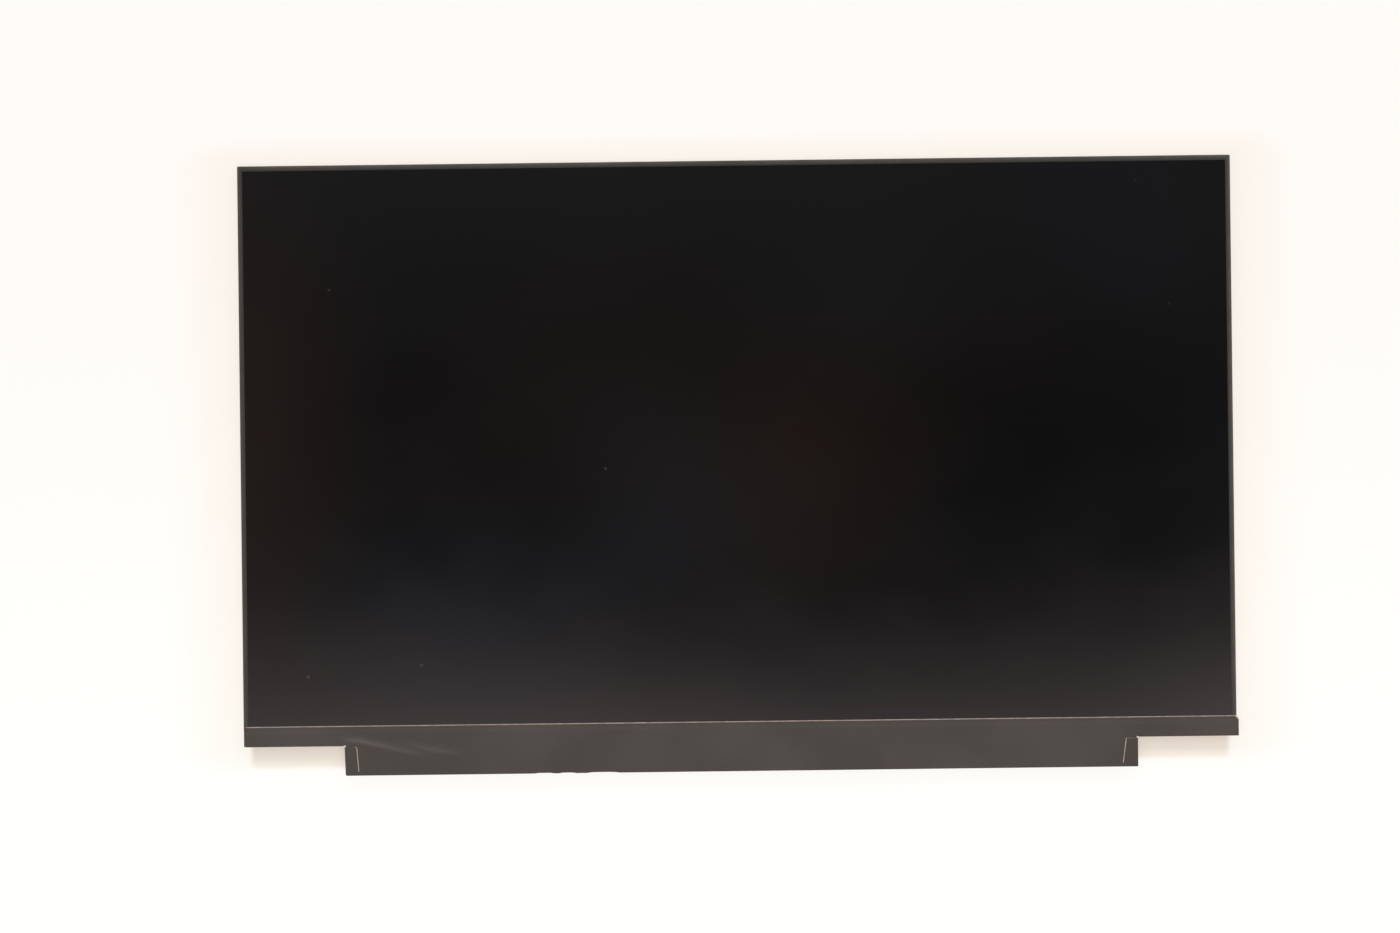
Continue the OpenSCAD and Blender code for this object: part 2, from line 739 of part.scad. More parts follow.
// One layer of the cover tape; upper: its upper edge, corner: its cut upper right corner
module cover_layer(from, to, upper, corner) {
    notch_y = body_bottom + 0.1;
    difference() {
        union() {
            along_x(cover_left, cover_right)
                polygon(layer(concat(cover_path, [[upper, tape_z]]), from, to));
            translate([0, 0, film_z + from]) linear_extrude(to - from) tab_outline();
        }
        // The fold is left out along the tab
        slab([tab_left, body_bottom - cut], [tab_right, plate_bottom + flap_back + cut],
            -cut, cut + film_z + from);
        // Round relief where the flaps meet the tab
        for (x = [tab_left, tab_right])
            translate([x, notch_y, film_z - 0.5]) cylinder(r = notch_r, h = 1);
        // Cut corner
        translate([cover_right, upper, tape_z]) rotate(45)
            cube([corner * sqrt(2), corner * sqrt(2) * 3, 2], center = true);
    }
}

module cover_tape_film() {
    color("#2b2927") difference() {
        cover_layer(adhesive_t, cover_t, cover_top - adhesive_show, end_corner);
        translate([0, 0, film_z + adhesive_t / 2]) linear_extrude(1) slits();
    }
}

module cover_tape_adhesive() {
    color("#d9cfb8") cover_layer(0, adhesive_t, cover_top, end_corner - 0.4);
}

// Clear film behind the board

module board_film() {
    inner_z = board_film_z + board_film_t;
    low_y = board_bottom - 0.1;
    foot_y = board_top - 1.6;
    end_x = board_l / 2 + 0.15;
    socket_half = socket_l / 2 + 2.2;
    t = board_film_t;
    color("#c9d2cf", 0.6) difference() {
        union() {
            along_x(-end_x, end_x) polygon(strip([[plate_bottom + film_hold, emboss_h],
                [plate_bottom + 0.1, emboss_h], [foot_y, inner_z], [low_y, inner_z],
                [low_y, film_z]], t));
            // Ends that rise to the cover tape
            for (side = [-1, 1]) mirror([side < 0 ? 1 : 0, 0, 0])
                along_y(low_y, foot_y) polygon(strip([[end_x + 3.9, film_z], [end_x + 1.9, film_z],
                    [end_x - 0.05, inner_z], [end_x - 0.5, inner_z]], t));
        }
        // Opening at the connector
        slab([socket_x - socket_half, low_y - cut], [socket_x + socket_half, foot_y - 2],
            -cut, board_z + cut);
    }
}

// Circuit board

board_middle = (board_top + board_bottom) / 2;

module circuit_board() {
    hole_x = board_l / 2 - 4;
    color("#1f5138") difference() {
        round_slab([-board_l / 2, board_bottom], [board_l / 2, board_top], board_r, board_z,
            board_t);
        for (x = [-hole_x, hole_x])
            translate([x, board_middle, board_z - cut])
                cylinder(r = board_hole_r, h = board_t + 2 * cut);
    }
}

function source_x(i) = (i - (source_count + 1) / 2) * source_pitch;

// Film from the glass to the board, with its shoulders cut back at the glass
module source_film(i) {
    top = array_y + source_on_glass;
    bottom = board_top - source_on_board;
    shoulder = 1.2;
    half = source_w / 2;
    color("#8a6a2a") translate([source_x(i), 0, filter_z]) linear_extrude(source_t) polygon([
        [-half, top], [half, top], [half, array_y - 1.8], [half - shoulder, array_y - 2.6],
        [half - shoulder, bottom], [shoulder - half, bottom], [shoulder - half, array_y - 2.6],
        [-half, array_y - 1.8]]);
}

module driver_chip(i) {
    y = array_y - cell_gap - chip_trough / 2 - driver_w / 2;
    color("#20242c")
    translate([source_x(i) - driver_l / 2, y, filter_z - driver_h])
        cube([driver_l, driver_w, driver_h]);
}

module source_film_1() { source_film(1); }
module source_film_2() { source_film(2); }
module source_film_3() { source_film(3); }
module source_film_4() { source_film(4); }
module driver_chip_1() { driver_chip(1); }
module driver_chip_2() { driver_chip(2); }
module driver_chip_3() { driver_chip(3); }
module driver_chip_4() { driver_chip(4); }

// Places a child on the board's rear face, with its height pointing to the rear
module on_board(x, y = board_middle) {
    translate([x, y, board_z]) mirror([0, 0, 1]) children();
}

// Flat leadless chip: body with a cut corner at its first lead, and leads along four or two sides
module leadless_chip(l, w, h, per_side, two_sides = false) {
    lead = 0.24;
    cut_corner = 0.3;
    out = 0.05;
    pitch = (l - 1.2) / (per_side - 1);
    translate([0, 0, 0.02]) linear_extrude(h - 0.02) polygon([
        [-l / 2, -w / 2], [l / 2, -w / 2], [l / 2, w / 2], [-l / 2 + cut_corner, w / 2],
        [-l / 2, w / 2 - cut_corner]]);
    for (i = [0 : per_side - 1], turn = two_sides ? [0, 180] : [0, 90, 180, 270]) {
        reach = turn % 180 == 0 ? w / 2 : l / 2;
        u = (i - (per_side - 1) / 2) * pitch;
        rotate(turn) translate([u - lead / 2, -reach - out, 0]) cube([lead, 0.4, 0.2]);
    }
}

// The backlight's group keeps its place from the light bar's tail, and all other chips from the
// connector at the board's left end
power_x = socket_x + 43;
fuse_x = power_x - 26;
logic_coil_x = power_x - 14;
memory_x = socket_x + 67;
timing_x = socket_x + 85;
shifter_x = socket_x + 127;
light_driver_x = tail_x - 43;
diode_x = tail_x - 33;
boost_coil_x = tail_x - 25;

module timing_controller() {
    color("#26282b") on_board(timing_x) leadless_chip(timing_l, timing_l, timing_h, 14);
}

module power_chip() {
    color("#26282b") on_board(power_x) leadless_chip(power_l, power_l, chip_h, 10);
}

module backlight_driver() {
    color("#26282b") on_board(light_driver_x)
        leadless_chip(light_driver_l, light_driver_l, chip_h, 7);
}

module level_shifter() {
    color("#26282b") on_board(shifter_x) leadless_chip(shifter_l, shifter_l, chip_h, 7);
}

module settings_memory() {
    color("#26282b") on_board(memory_x, board_middle - 1) leadless_chip(3, 2, chip_h - 0.2, 4, true);
}

// Coil in a square ferrite body, with a terminal at each end
module coil(l, h) {
    r = l * 0.14;
    translate([0, 0, 0.05]) linear_extrude(h - 0.05)
        round_outline([-l / 2, -l / 2], [l / 2, l / 2], r);
    for (side = [-1, 1])
        translate([side * l * 0.41 - l * 0.12, -l * 0.32, 0]) cube([l * 0.24, l * 0.64, 0.2]);
}

module boost_coil() {
    color("#4a4c50") on_board(boost_coil_x) coil(boost_coil_l, boost_coil_h);
}

module logic_coil() {
    color("#4a4c50") on_board(logic_coil_x) coil(logic_coil_l, logic_coil_h);
}

module boost_diode() {
    color("#2a2a2c") on_board(diode_x, board_middle - 0.6) {
        translate([-1.35, -0.8, 0.05]) cube([2.7, 1.6, 0.9]);
        translate([-1.75, -0.5, 0]) cube([3.5, 1, 0.2]);
    }
}

module input_fuse() {
    color("#dfe3dc") on_board(fuse_x, board_middle + 1.4) {
        translate([-0.55, -0.4, 0.02]) cube([1.1, 0.8, 0.4]);
        for (x = [-0.8, 0.5]) translate([x, -0.4, 0]) cube([0.3, 0.8, 0.44]);
    }
}

// Chip component of length l along the board, with a thicker terminal at each end
module chip_part(l, w, h) {
    cap = l * 0.22;
    translate([-l / 2 + cap, -w / 2 + 0.02, 0.02]) cube([l - 2 * cap, w - 0.04, h - 0.04]);
    for (x = [-l / 2, l / 2 - cap]) translate([x, -w / 2, 0]) cube([cap, w, h]);
}

// Length, width and height of the chip capacitors and resistors
small_capacitor = [1, 0.5, 0.5];
middle_capacitor = [1.6, 0.8, 0.8];
large_capacitor = [2, 1.25, 0.85];
small_resistor = [1, 0.5, 0.35];

// Chips round one place along the board: place from there, place across the board from its
// middle, turn and size
function near(x, parts) = [for (p = parts) [x + p[0], p[1], p[2], p[3]]];

capacitors = concat(
    near(socket_x, [[-15, 2.6, 0, small_capacitor], [-13, -1.5, 90, small_capacitor]]),
    near(fuse_x, [[4, -2.4, 0, middle_capacitor], [4, -0.6, 0, middle_capacitor],
        [7.4, 2.6, 90, middle_capacitor]]),
    near(logic_coil_x, [[5, 2.2, 90, large_capacitor], [5, -2, 90, large_capacitor]]),
    near(power_x, [[-4.4, 3, 0, small_capacitor], [-4.6, -3, 0, small_capacitor],
        [4.4, 3, 0, small_capacitor], [4.8, 0, 90, small_capacitor],
        [8, -2, 90, middle_capacitor], [10.4, -2, 90, middle_capacitor],
        [12.8, -2, 90, middle_capacitor]]),
    near(timing_x, [[-7, 2.4, 90, small_capacitor], [-7, -1, 90, small_capacitor],
        [-5.6, 3.8, 0, small_capacitor], [6, 2.6, 90, small_capacitor],
        [6.1, -1.2, 90, small_capacitor], [10, 0.4, 0, small_capacitor],
        [12.4, 0.4, 0, small_capacitor]]),
    near(shifter_x, [[-5, 2.8, 90, small_capacitor], [5, -2.4, 90, small_capacitor],
        [8, 2, 0, small_capacitor]]),
    near(light_driver_x, [[-7, 2.4, 0, large_capacitor], [-7, -1.4, 0, large_capacitor]]),
    near(boost_coil_x, [[6, 2.4, 0, large_capacitor], [6, -0.2, 0, large_capacitor],
        [6, -2.8, 0, large_capacitor]]),
    near(tail_x, [[15, 1.8, 90, small_capacitor]]));
resistors = concat(
    near(socket_x, [[-17, -2.6, 0, small_resistor], [-11, -3.6, 0, small_resistor]]),
    near(fuse_x, [[0, -1.2, 90, small_resistor]]),
    near(power_x, [[-4.6, 0.2, 90, small_resistor], [15, 2.4, 90, small_resistor],
        [16.4, 2.4, 90, small_resistor], [17.8, 2.4, 90, small_resistor]]),
    near(memory_x, [[3, 2.6, 0, small_resistor], [5, 2.6, 0, small_resistor]]),
    near(timing_x, [[16, -2.2, 90, small_resistor], [17.6, -2.2, 90, small_resistor],
        [24, 1.4, 0, small_resistor], [26.2, 1.4, 0, small_resistor]]),
    near(shifter_x, [[-4.8, -2.6, 90, small_resistor], [12, -1.4, 90, small_resistor],
        [13.6, -1.4, 90, small_resistor]]),
    near(light_driver_x, [[-3.4, 3.4, 0, small_resistor], [4.4, 2.8, 90, small_resistor],
        [4.4, -3, 90, small_resistor]]),
    near(boost_coil_x, [[14, -3, 0, small_resistor]]));

module chip_parts(places) {
    for (p = places)
        on_board(p[0], board_middle + p[1]) rotate(p[2]) chip_part(p[3][0], p[3][1], p[3][2]);
}

module chip_capacitors() {
    color("#b49a76") chip_parts(capacitors);
}

module chip_resistors() {
    color("#1c1c1e") chip_parts(resistors);
}

// Display connector: its mouth opens towards the board's lower edge

contact_span = (contact_count - 1) * contact_pitch;
socket_l = contact_span + 2 * socket_side;
slot_z = 0.36;
slot_h = 0.42;
slot_d = socket_d * 0.62;
beam_t = 0.1;

module in_socket() {
    translate([socket_x, socket_y, board_z]) mirror([0, 0, 1]) children();
}

module each_contact() {
    for (i = [0 : contact_count - 1])
        translate([(i - (contact_count - 1) / 2) * contact_pitch, 0, 0]) children();
}

// Groove for one contact, open to the slot, the board and the rear
module contact_groove() {
    rear = socket_d - 0.62;
    along_x(-0.13, 0.13) polygon([[0.4, slot_z - 0.2], [rear, slot_z - 0.2], [rear, -cut],
        [socket_d + cut, -cut], [socket_d + cut, slot_z], [slot_d, slot_z], [slot_d, slot_z + 0.01],
        [0.4, slot_z + 0.01]]);
}

module connector_insulator() {
    wide = contact_span + 1.5;
    color("#e9e4d4") in_socket() difference() {
        translate([-socket_l / 2, 0, 0.01]) cube([socket_l, socket_d, socket_h - shell_t - 0.02]);
        translate([-wide / 2, -cut, slot_z]) cube([wide, slot_d + cut, slot_h]);
        each_contact() contact_groove();
    }
}

module connector_contacts() {
    foot = 0.45;
    color("#d8b45c") in_socket() each_contact()
        along_x(-0.1, 0.1) polygon(strip([[0.6, slot_z - 0.14], [0.95, slot_z], [1.3, slot_z - 0.16],
            [socket_d - 0.45, slot_z - 0.16], [socket_d - 0.3, 0.01], [socket_d + foot, 0.01]],
            beam_t));
}

module connector_shell() {
    half = socket_l / 2 + 0.03;
    foot = 1.2;
    depth = socket_d - 0.9;
    color("#c4c8cc") in_socket() difference() {
        along_y(0.05, depth) polygon(strip([[-half - foot, 0], [-half, 0],
            [-half, socket_h - shell_t], [half, socket_h - shell_t], [half, 0], [half + foot, 0]],
            shell_t));
        // Lock windows and the split between the feet on each side
        for (x = [-0.3, 0.3] * socket_l)
            translate([x - 0.7, 1, socket_h - shell_t - cut]) cube([1.4, 0.7, 3]);
        for (side = [-1, 1])
            translate([side * (half + foot / 2 + shell_t) - foot / 2, depth * 0.38, -cut])
                cube([foot, depth * 0.24, 2 * cut]);
    }
}

front_polarizer();
colour_filter_glass();
array_glass();
rear_polarizer();
cell_tape();
mould_frame();
upper_diffuser();
upper_prism_sheet();
lower_prism_sheet();
lower_diffuser();
light_guide();
reflector_sheet();
light_bar_film();
light_bar_leds();
light_bar_tape();
rear_plate();
left_edge_tape();
top_edge_tape();
right_edge_tape();
cover_tape_film();
cover_tape_adhesive();
board_film();
circuit_board();
source_film_1();
source_film_2();
source_film_3();
source_film_4();
driver_chip_1();
driver_chip_2();
driver_chip_3();
driver_chip_4();
timing_controller();
power_chip();
backlight_driver();
level_shifter();
settings_memory();
boost_coil();
logic_coil();
boost_diode();
input_fuse();
chip_capacitors();
chip_resistors();
connector_insulator();
connector_contacts();
connector_shell();
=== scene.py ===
# Bare laptop screen panel, face up on a pale table and seen from straight above
import json
import math

import bmesh
import bpy
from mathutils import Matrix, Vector


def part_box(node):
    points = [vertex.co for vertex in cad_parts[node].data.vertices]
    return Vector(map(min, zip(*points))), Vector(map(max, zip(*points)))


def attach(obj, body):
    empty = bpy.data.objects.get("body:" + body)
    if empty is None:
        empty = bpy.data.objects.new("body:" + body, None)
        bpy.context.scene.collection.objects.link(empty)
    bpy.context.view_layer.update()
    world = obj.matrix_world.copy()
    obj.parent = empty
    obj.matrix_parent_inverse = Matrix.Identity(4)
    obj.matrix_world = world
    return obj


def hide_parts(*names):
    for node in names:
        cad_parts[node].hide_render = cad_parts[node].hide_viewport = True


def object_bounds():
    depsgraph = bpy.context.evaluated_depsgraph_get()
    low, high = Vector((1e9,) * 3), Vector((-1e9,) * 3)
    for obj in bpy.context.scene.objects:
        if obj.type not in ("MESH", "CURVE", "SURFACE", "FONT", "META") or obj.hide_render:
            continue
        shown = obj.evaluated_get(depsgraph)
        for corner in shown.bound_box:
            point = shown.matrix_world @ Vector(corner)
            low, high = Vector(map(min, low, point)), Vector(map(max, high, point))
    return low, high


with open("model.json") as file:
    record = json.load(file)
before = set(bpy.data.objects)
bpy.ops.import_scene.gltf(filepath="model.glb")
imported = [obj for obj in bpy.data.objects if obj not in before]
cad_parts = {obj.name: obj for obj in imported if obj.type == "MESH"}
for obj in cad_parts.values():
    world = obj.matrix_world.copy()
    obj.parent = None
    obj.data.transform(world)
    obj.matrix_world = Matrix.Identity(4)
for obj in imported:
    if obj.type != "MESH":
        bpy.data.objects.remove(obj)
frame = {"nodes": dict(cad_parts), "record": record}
cadLow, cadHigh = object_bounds()
nodes = frame["nodes"]
slotOf = {part["node"]: part["material_slot"] for part in frame["record"]["subparts"]}
mm = 0.001
weld = 1e-7  # m; points of one solid this close are one point
print("frame loaded,", len(nodes), "nodes")


# Small helpers for node trees

def addNode(tree, kind, inputs=None, **settings):
    node = tree.nodes.new(kind)
    for name, value in settings.items():
        setattr(node, name, value)
    for name, value in (inputs or {}).items():
        if isinstance(value, bpy.types.NodeSocket):
            tree.links.new(value, node.inputs[name])
        else:
            node.inputs[name].default_value = value
    return node


def outOf(tree, kind, inputs=None, **settings):
    return addNode(tree, kind, inputs, **settings).outputs[0]


def calc(tree, operation, first, second=0.0):
    return outOf(tree, "ShaderNodeMath", {0: first, 1: second}, operation=operation)


def times(tree, first, second):
    return calc(tree, "MULTIPLY", first, second)


def split(tree, vector):
    return addNode(tree, "ShaderNodeSeparateXYZ", {0: vector}).outputs


def ramp(tree, value, low, high, start=0.0, end=1.0):  # smooth step from start to end
    inputs = {"Value": value, 1: low, 2: high, 3: start, 4: end}
    return outOf(tree, "ShaderNodeMapRange", inputs, interpolation_type="SMOOTHSTEP")


def spread(tree, noise, start=0.0, end=1.0, half=0.2):  # the same round the middle of a noise
    return ramp(tree, noise, 0.5 - half, 0.5 + half, start, end)


def mixColor(tree, factor, first, second):
    inputs = {0: factor, 6: first, 7: second}
    return addNode(tree, "ShaderNodeMix", inputs, data_type="RGBA").outputs[2]


def objectPoint(tree, stretch=(1, 1, 1), turn=0.0):
    place = addNode(tree, "ShaderNodeTexCoord").outputs["Object"]
    inputs = {"Vector": place, "Scale": stretch, "Rotation": (0, 0, turn)}
    return outOf(tree, "ShaderNodeMapping", inputs)


def speckle(tree, size, stretch=(1, 1, 1), detail=3.0):  # noise with features of this size in mm
    inputs = {"Vector": objectPoint(tree, stretch), "Scale": 1 / (size * mm), "Detail": detail}
    return addNode(tree, "ShaderNodeTexNoise", inputs).outputs["Fac"]


def bump(tree, height, depth, before=None):  # depth in mm
    inputs = {"Height": height, "Distance": depth * mm, "Strength": 1.0}
    if before:
        inputs["Normal"] = before
    return outOf(tree, "ShaderNodeBump", inputs)


def startMaterial(name, sockets):
    material = bpy.data.materials.new(name)
    material.use_nodes = True
    shader = material.node_tree.nodes["Principled BSDF"]
    for socket, value in sockets.items():
        shader.inputs[socket].default_value = value
    return material, material.node_tree, shader


def rgb(color):
    return (*color, 1.0)


def endMaterial(material, shader, color, rough, normal):
    for socket, value in (("Base Color", color), ("Roughness", rough), ("Normal", normal)):
        material.node_tree.links.new(value, shader.inputs[socket])
    return material


# Small helpers for objects

def newObject(name, data):
    piece = bpy.data.objects.new(name, data)
    bpy.context.scene.collection.objects.link(piece)
    return piece


def boxOf(nodeName):  # low and high corner in mm
    return [[value / mm for value in corner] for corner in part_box(nodeName)]


def flatMesh(name, boxes, height):  # a face for each left, bottom, right and top; all in mm
    corners = []
    for left, bottom, right, top in boxes:
        plan = ((left, bottom), (right, bottom), (right, top), (left, top))
        corners += [(x * mm, y * mm, height * mm) for x, y in plan]
    mesh = bpy.data.meshes.new(name)
    mesh.from_pydata(corners, [], [range(first, first + 4) for first in range(0, len(corners), 4)])
    return mesh


# Camera, lamps and table

view = {
    "photoWidth": 1400,  # pixels
    "pixelSize": 0.35312,  # mm of the panel that one pixel covers
    "lens": 85,
    "sensor": 36,
    "aimX": -13.08,  # point of the panel under the middle of the picture, mm
    "aimY": -5.305,
    "turn": -0.69,  # degrees
}


def makeCamera():
    data = bpy.data.cameras.new("camera")
    data.lens = view["lens"]
    data.sensor_width = view["sensor"]
    camera = newObject("camera", data)
    away = view["photoWidth"] * view["pixelSize"] * view["lens"] / view["sensor"]
    camera.location = (view["aimX"] * mm, view["aimY"] * mm, cadHigh.z + away * mm)
    camera.rotation_euler = (0, 0, math.radians(view["turn"]))
    bpy.context.scene.camera = camera


room = {
    "walls": (0.59, 0.61, 0.56),
    "ceiling": (0.032, 0.034, 0.036),  # dark part straight above, round the camera
    "window": (1.92, 1.63, 1.64),  # bright part behind the panel's lower edge
    "under": (0.82, 0.8, 0.78),
    "backdrop": (1.0, 0.99, 0.96),
    "windowStart": -0.03,  # slopes from the vertical between which the dark part turns bright
    "windowFull": -0.122,
    "windowEnd": -0.65,
    "windowAcross": (0.7, 1.0),  # slopes to the sides between which it fades
    "ceilingEnd": 0.55,
    "ceilingAcross": (0.3, 0.45),
    "endFade": 0.2,  # slope over which both end
    "wallTop": 0.15,  # height of a direction from which the ceiling and the window show in full
    "underTop": -0.05,  # and below which only the light from under the table does
    "flattest": 0.02,  # least height that a direction's slopes are worked out with
    "patchFade": (0.1, 1.3),  # parts of a patch's half size between which it fades
    "lampPower": 62.0,
    "lampWidth": 6.8,  # m
    "lampLow": 16.5,  # degrees above the table
    "lampHigh": 28.5,
    "lampAway": 2.6,  # m
}

# Faint lit patches of the ceiling: slopes from the vertical, half width, half height, colour
ceilingPatches = [
    ((-0.06, 0.12), (0.4, 0.08), (0.24, 0.24, 0.25)),
    ((-0.15, 0.018), (0.046, 0.085), (0.42, 0.26, 0.2)),
    ((-0.044, 0.028), (0.038, 0.032), (0.22, 0.13, 0.11)),
    ((-0.006, -0.008), (0.036, 0.036), (0.27, 0.27, 0.32)),
    ((0.03, -0.004), (0.03, 0.036), (0.38, 0.2, 0.12)),
    ((0.051, 0.05), (0.036, 0.032), (0.2, 0.2, 0.2)),
    ((0.138, 0.074), (0.05, 0.042), (0.2, 0.19, 0.23)),
    ((0.175, -0.085), (0.05, 0.03), (0.6, 0.5, 0.42)),
    ((-0.078, -0.046), (0.05, 0.034), (0.06, 0.15, 0.25)),
    ((0.168, 0.000), (0.016, 0.1), (0.17, 0.16, 0.14)),
]
# A duller and two brighter parts of the window, in the same terms
windowPatches = [
    ((0.055, -0.045), (0.105, 0.033), (0.22, 0.2, 0.19)),
    ((0.195, -0.088), (0.05, 0.03), (3.6, 3.1, 2.95)),
    ((-0.06, -0.095), (0.09, 0.024), (2.5, 2.1, 2.05)),
]


def patchMask(tree, plan, middle, half):  # 1 in the middle of the patch, fading to 0 round it
    inputs = {0: plan, "Location": (-middle[0] / half[0], -middle[1] / half[1], 0),
        "Scale": (1 / half[0], 1 / half[1], 1)}
    inside = outOf(tree, "ShaderNodeMapping", inputs)
    reach = addNode(tree, "ShaderNodeVectorMath", {0: inside}, operation="LENGTH")
    return ramp(tree, reach.outputs["Value"], *room["patchFade"], 1, 0)


def addPatches(tree, plan, color, patches):
    for middle, half, light in patches:
        color = mixColor(tree, patchMask(tree, plan, middle, half), color, rgb(light))
    return color


def makeWorld():
    look = room
    world = bpy.data.worlds.new("room")
    bpy.context.scene.world = world
    world.use_nodes = True
    tree = world.node_tree
    parts = split(tree, addNode(tree, "ShaderNodeTexCoord").outputs["Generated"])
    above = calc(tree, "MAXIMUM", parts[2], look["flattest"])
    sideways = calc(tree, "DIVIDE", parts[0], above)
    along = calc(tree, "DIVIDE", parts[1], above)
    across = calc(tree, "ABSOLUTE", sideways)
    plan = outOf(tree, "ShaderNodeCombineXYZ", {0: sideways, 1: along})
    dark = ramp(tree, along, look["ceilingEnd"], look["ceilingEnd"] + look["endFade"], 1, 0)
    dark = times(tree, dark, ramp(tree, across, *look["ceilingAcross"], 1, 0))
    bright = times(tree, ramp(tree, along, look["windowFull"], look["windowStart"], 1, 0),
        ramp(tree, along, look["windowEnd"] - look["endFade"], look["windowEnd"]))
    bright = times(tree, bright, ramp(tree, across, *look["windowAcross"], 1, 0))
    upper = ramp(tree, parts[2], 0.0, look["wallTop"])
    ceiling = addPatches(tree, plan, rgb(look["ceiling"]), ceilingPatches)
    pane = addPatches(tree, plan, rgb(look["window"]), windowPatches)
    color = mixColor(tree, times(tree, dark, upper), rgb(look["walls"]), ceiling)
    color = mixColor(tree, times(tree, bright, upper), color, pane)
    below = ramp(tree, parts[2], look["underTop"], 0.0, 1, 0)
    color = mixColor(tree, below, color, rgb(look["under"]))
    seen = addNode(tree, "ShaderNodeLightPath").outputs["Is Camera Ray"]
    color = mixColor(tree, seen, color, rgb(look["backdrop"]))
    tree.links.new(color, tree.nodes["Background"].inputs["Color"])


def makeLamp():
    data = bpy.data.lights.new("long_lamp", "AREA")
    middle = math.radians((room["lampLow"] + room["lampHigh"]) / 2)
    half = math.radians((room["lampHigh"] - room["lampLow"]) / 2)
    data.shape = "RECTANGLE"
    data.size = room["lampWidth"]
    data.size_y = 2 * room["lampAway"] * math.tan(half)
    data.energy = room["lampPower"]
    lamp = newObject("long_lamp", data)
    lamp.location = (0, room["lampAway"] * math.cos(middle), room["lampAway"] * math.sin(middle))
    lamp.rotation_euler = (-(math.pi / 2 - middle), 0, 0)
    lamp.visible_glossy = False  # no glare on the screen from a low view


table = {
    "size": 8000.0,  # mm
    "drop": 0.03,  # mm below the panel
    "behind": (1.01, 0.985, 0.955),  # colour beyond the panel's upper edge
    "before": (1.05, 1.045, 1.02),  # colour beyond its lower edge
    "turn": (-170.0, 100.0),  # places up the table, mm, between which one turns into the other
    "glow": 0.8,  # share of its light that the panel doesn't shade
    "glowBeside": 0.25,  # the same in the corners on both sides of the tab
    "level": 1.0,  # strength of that share
    "warm": (1.0, 0.965, 0.92),  # tint of the shade in those corners
    "cornerShort": 4.2,  # mm that they end above the tab's lower edge
    "cornerInset": 4.0,  # mm that they start inside the body's sides
    "cornerFade": 3.0,  # mm
    "near": (0.968, 0.938, 0.902),  # painted shade on the table close to the panel
    "nearReach": 30.0,  # mm beside the panel
    "nearSquash": 2.2,  # times shorter beyond its upper and lower edges
    "seenFrom": 4.0,  # mm; glossy rays that start closer look through the table
}


def awayFrom(tree, place, low, high, squash=1.0):  # distance in plan from a box
    beyond = []
    for axis in (0, 1):
        off = calc(tree, "SUBTRACT", place[axis], (low[axis] + high[axis]) / 2)
        off = calc(tree, "SUBTRACT", calc(tree, "ABSOLUTE", off), (high[axis] - low[axis]) / 2)
        off = times(tree, calc(tree, "MAXIMUM", off, 0.0), squash if axis else 1.0)
        beyond.append(times(tree, off, off))
    return calc(tree, "SQRT", calc(tree, "ADD", *beyond))


def makeTable():
    look, half = table, table["size"] / 2
    mesh = flatMesh("table", [(-half, -half, half, half)], -look["drop"])
    top = newObject("table", mesh)
    material, tree, shader = startMaterial("pale_table", {})
    tree.nodes.remove(shader)
    path = addNode(tree, "ShaderNodeLightPath").outputs
    back = addNode(tree, "ShaderNodeNewGeometry").outputs["Backfacing"]
    front = calc(tree, "SUBTRACT", 1.0, back)
    far = calc(tree, "GREATER_THAN", path["Ray Length"], look["seenFrom"] * mm)
    mirrored = calc(tree, "MAXIMUM", path["Is Glossy Ray"], path["Is Transmission Ray"])
    mirrored = times(tree, mirrored, far)
    shown = times(tree, calc(tree, "MAXIMUM", path["Is Camera Ray"], mirrored), front)
    place = split(tree, objectPoint(tree))
    start, end = look["turn"]
    turn = ramp(tree, place[1], start * mm, end * mm, 1, 0)
    color = mixColor(tree, turn, rgb(look["behind"]), rgb(look["before"]))
    body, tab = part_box("rear_plate"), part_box("board_film")
    # painted shade round the panel, fading over nearReach
    beside = awayFrom(tree, place, *body, look["nearSquash"])
    paintedHalo = ramp(tree, beside, 0.0, look["nearReach"] * mm, 1, 0)
    foot = tab[0].y + look["cornerShort"] * mm
    inset = look["cornerInset"] * mm
    corners = [awayFrom(tree, place, (body[0].x + inset, foot), (tab[0].x, body[0].y)),
        awayFrom(tree, place, (tab[1].x, foot), (body[1].x - inset, body[0].y))]
    shade = ramp(tree, calc(tree, "MINIMUM", *corners), 0.0, look["cornerFade"] * mm, 1, 0)
    share = ramp(tree, shade, 0.0, 1.0, look["glow"], look["glowBeside"])
    # both tints are painted shade: a halo round the panel, and warmer shade in the corners
    for mask, tint in ((paintedHalo, look["near"]), (shade, look["warm"])):
        inputs = {0: color, 1: mixColor(tree, mask, rgb((1, 1, 1)), rgb(tint))}
        color = outOf(tree, "ShaderNodeVectorMath", inputs, operation="MULTIPLY")
    pale = outOf(tree, "ShaderNodeBsdfDiffuse", {"Color": color})
    glow = outOf(tree, "ShaderNodeEmission", {"Color": color, "Strength": look["level"]})
    pale = outOf(tree, "ShaderNodeMixShader", {0: share, 1: pale, 2: glow})
    clear = outOf(tree, "ShaderNodeBsdfTransparent")
    mix = outOf(tree, "ShaderNodeMixShader", {0: shown, 1: clear, 2: pale})
    tree.links.new(mix, tree.nodes["Material Output"].inputs["Surface"])
    mesh.materials.append(material)


makeCamera()
makeWorld()
makeLamp()
makeTable()
bpy.context.scene.view_settings.view_transform = "Standard"
print("camera, lamps and table made")


# Screen face: anti-glare film over a dark cell

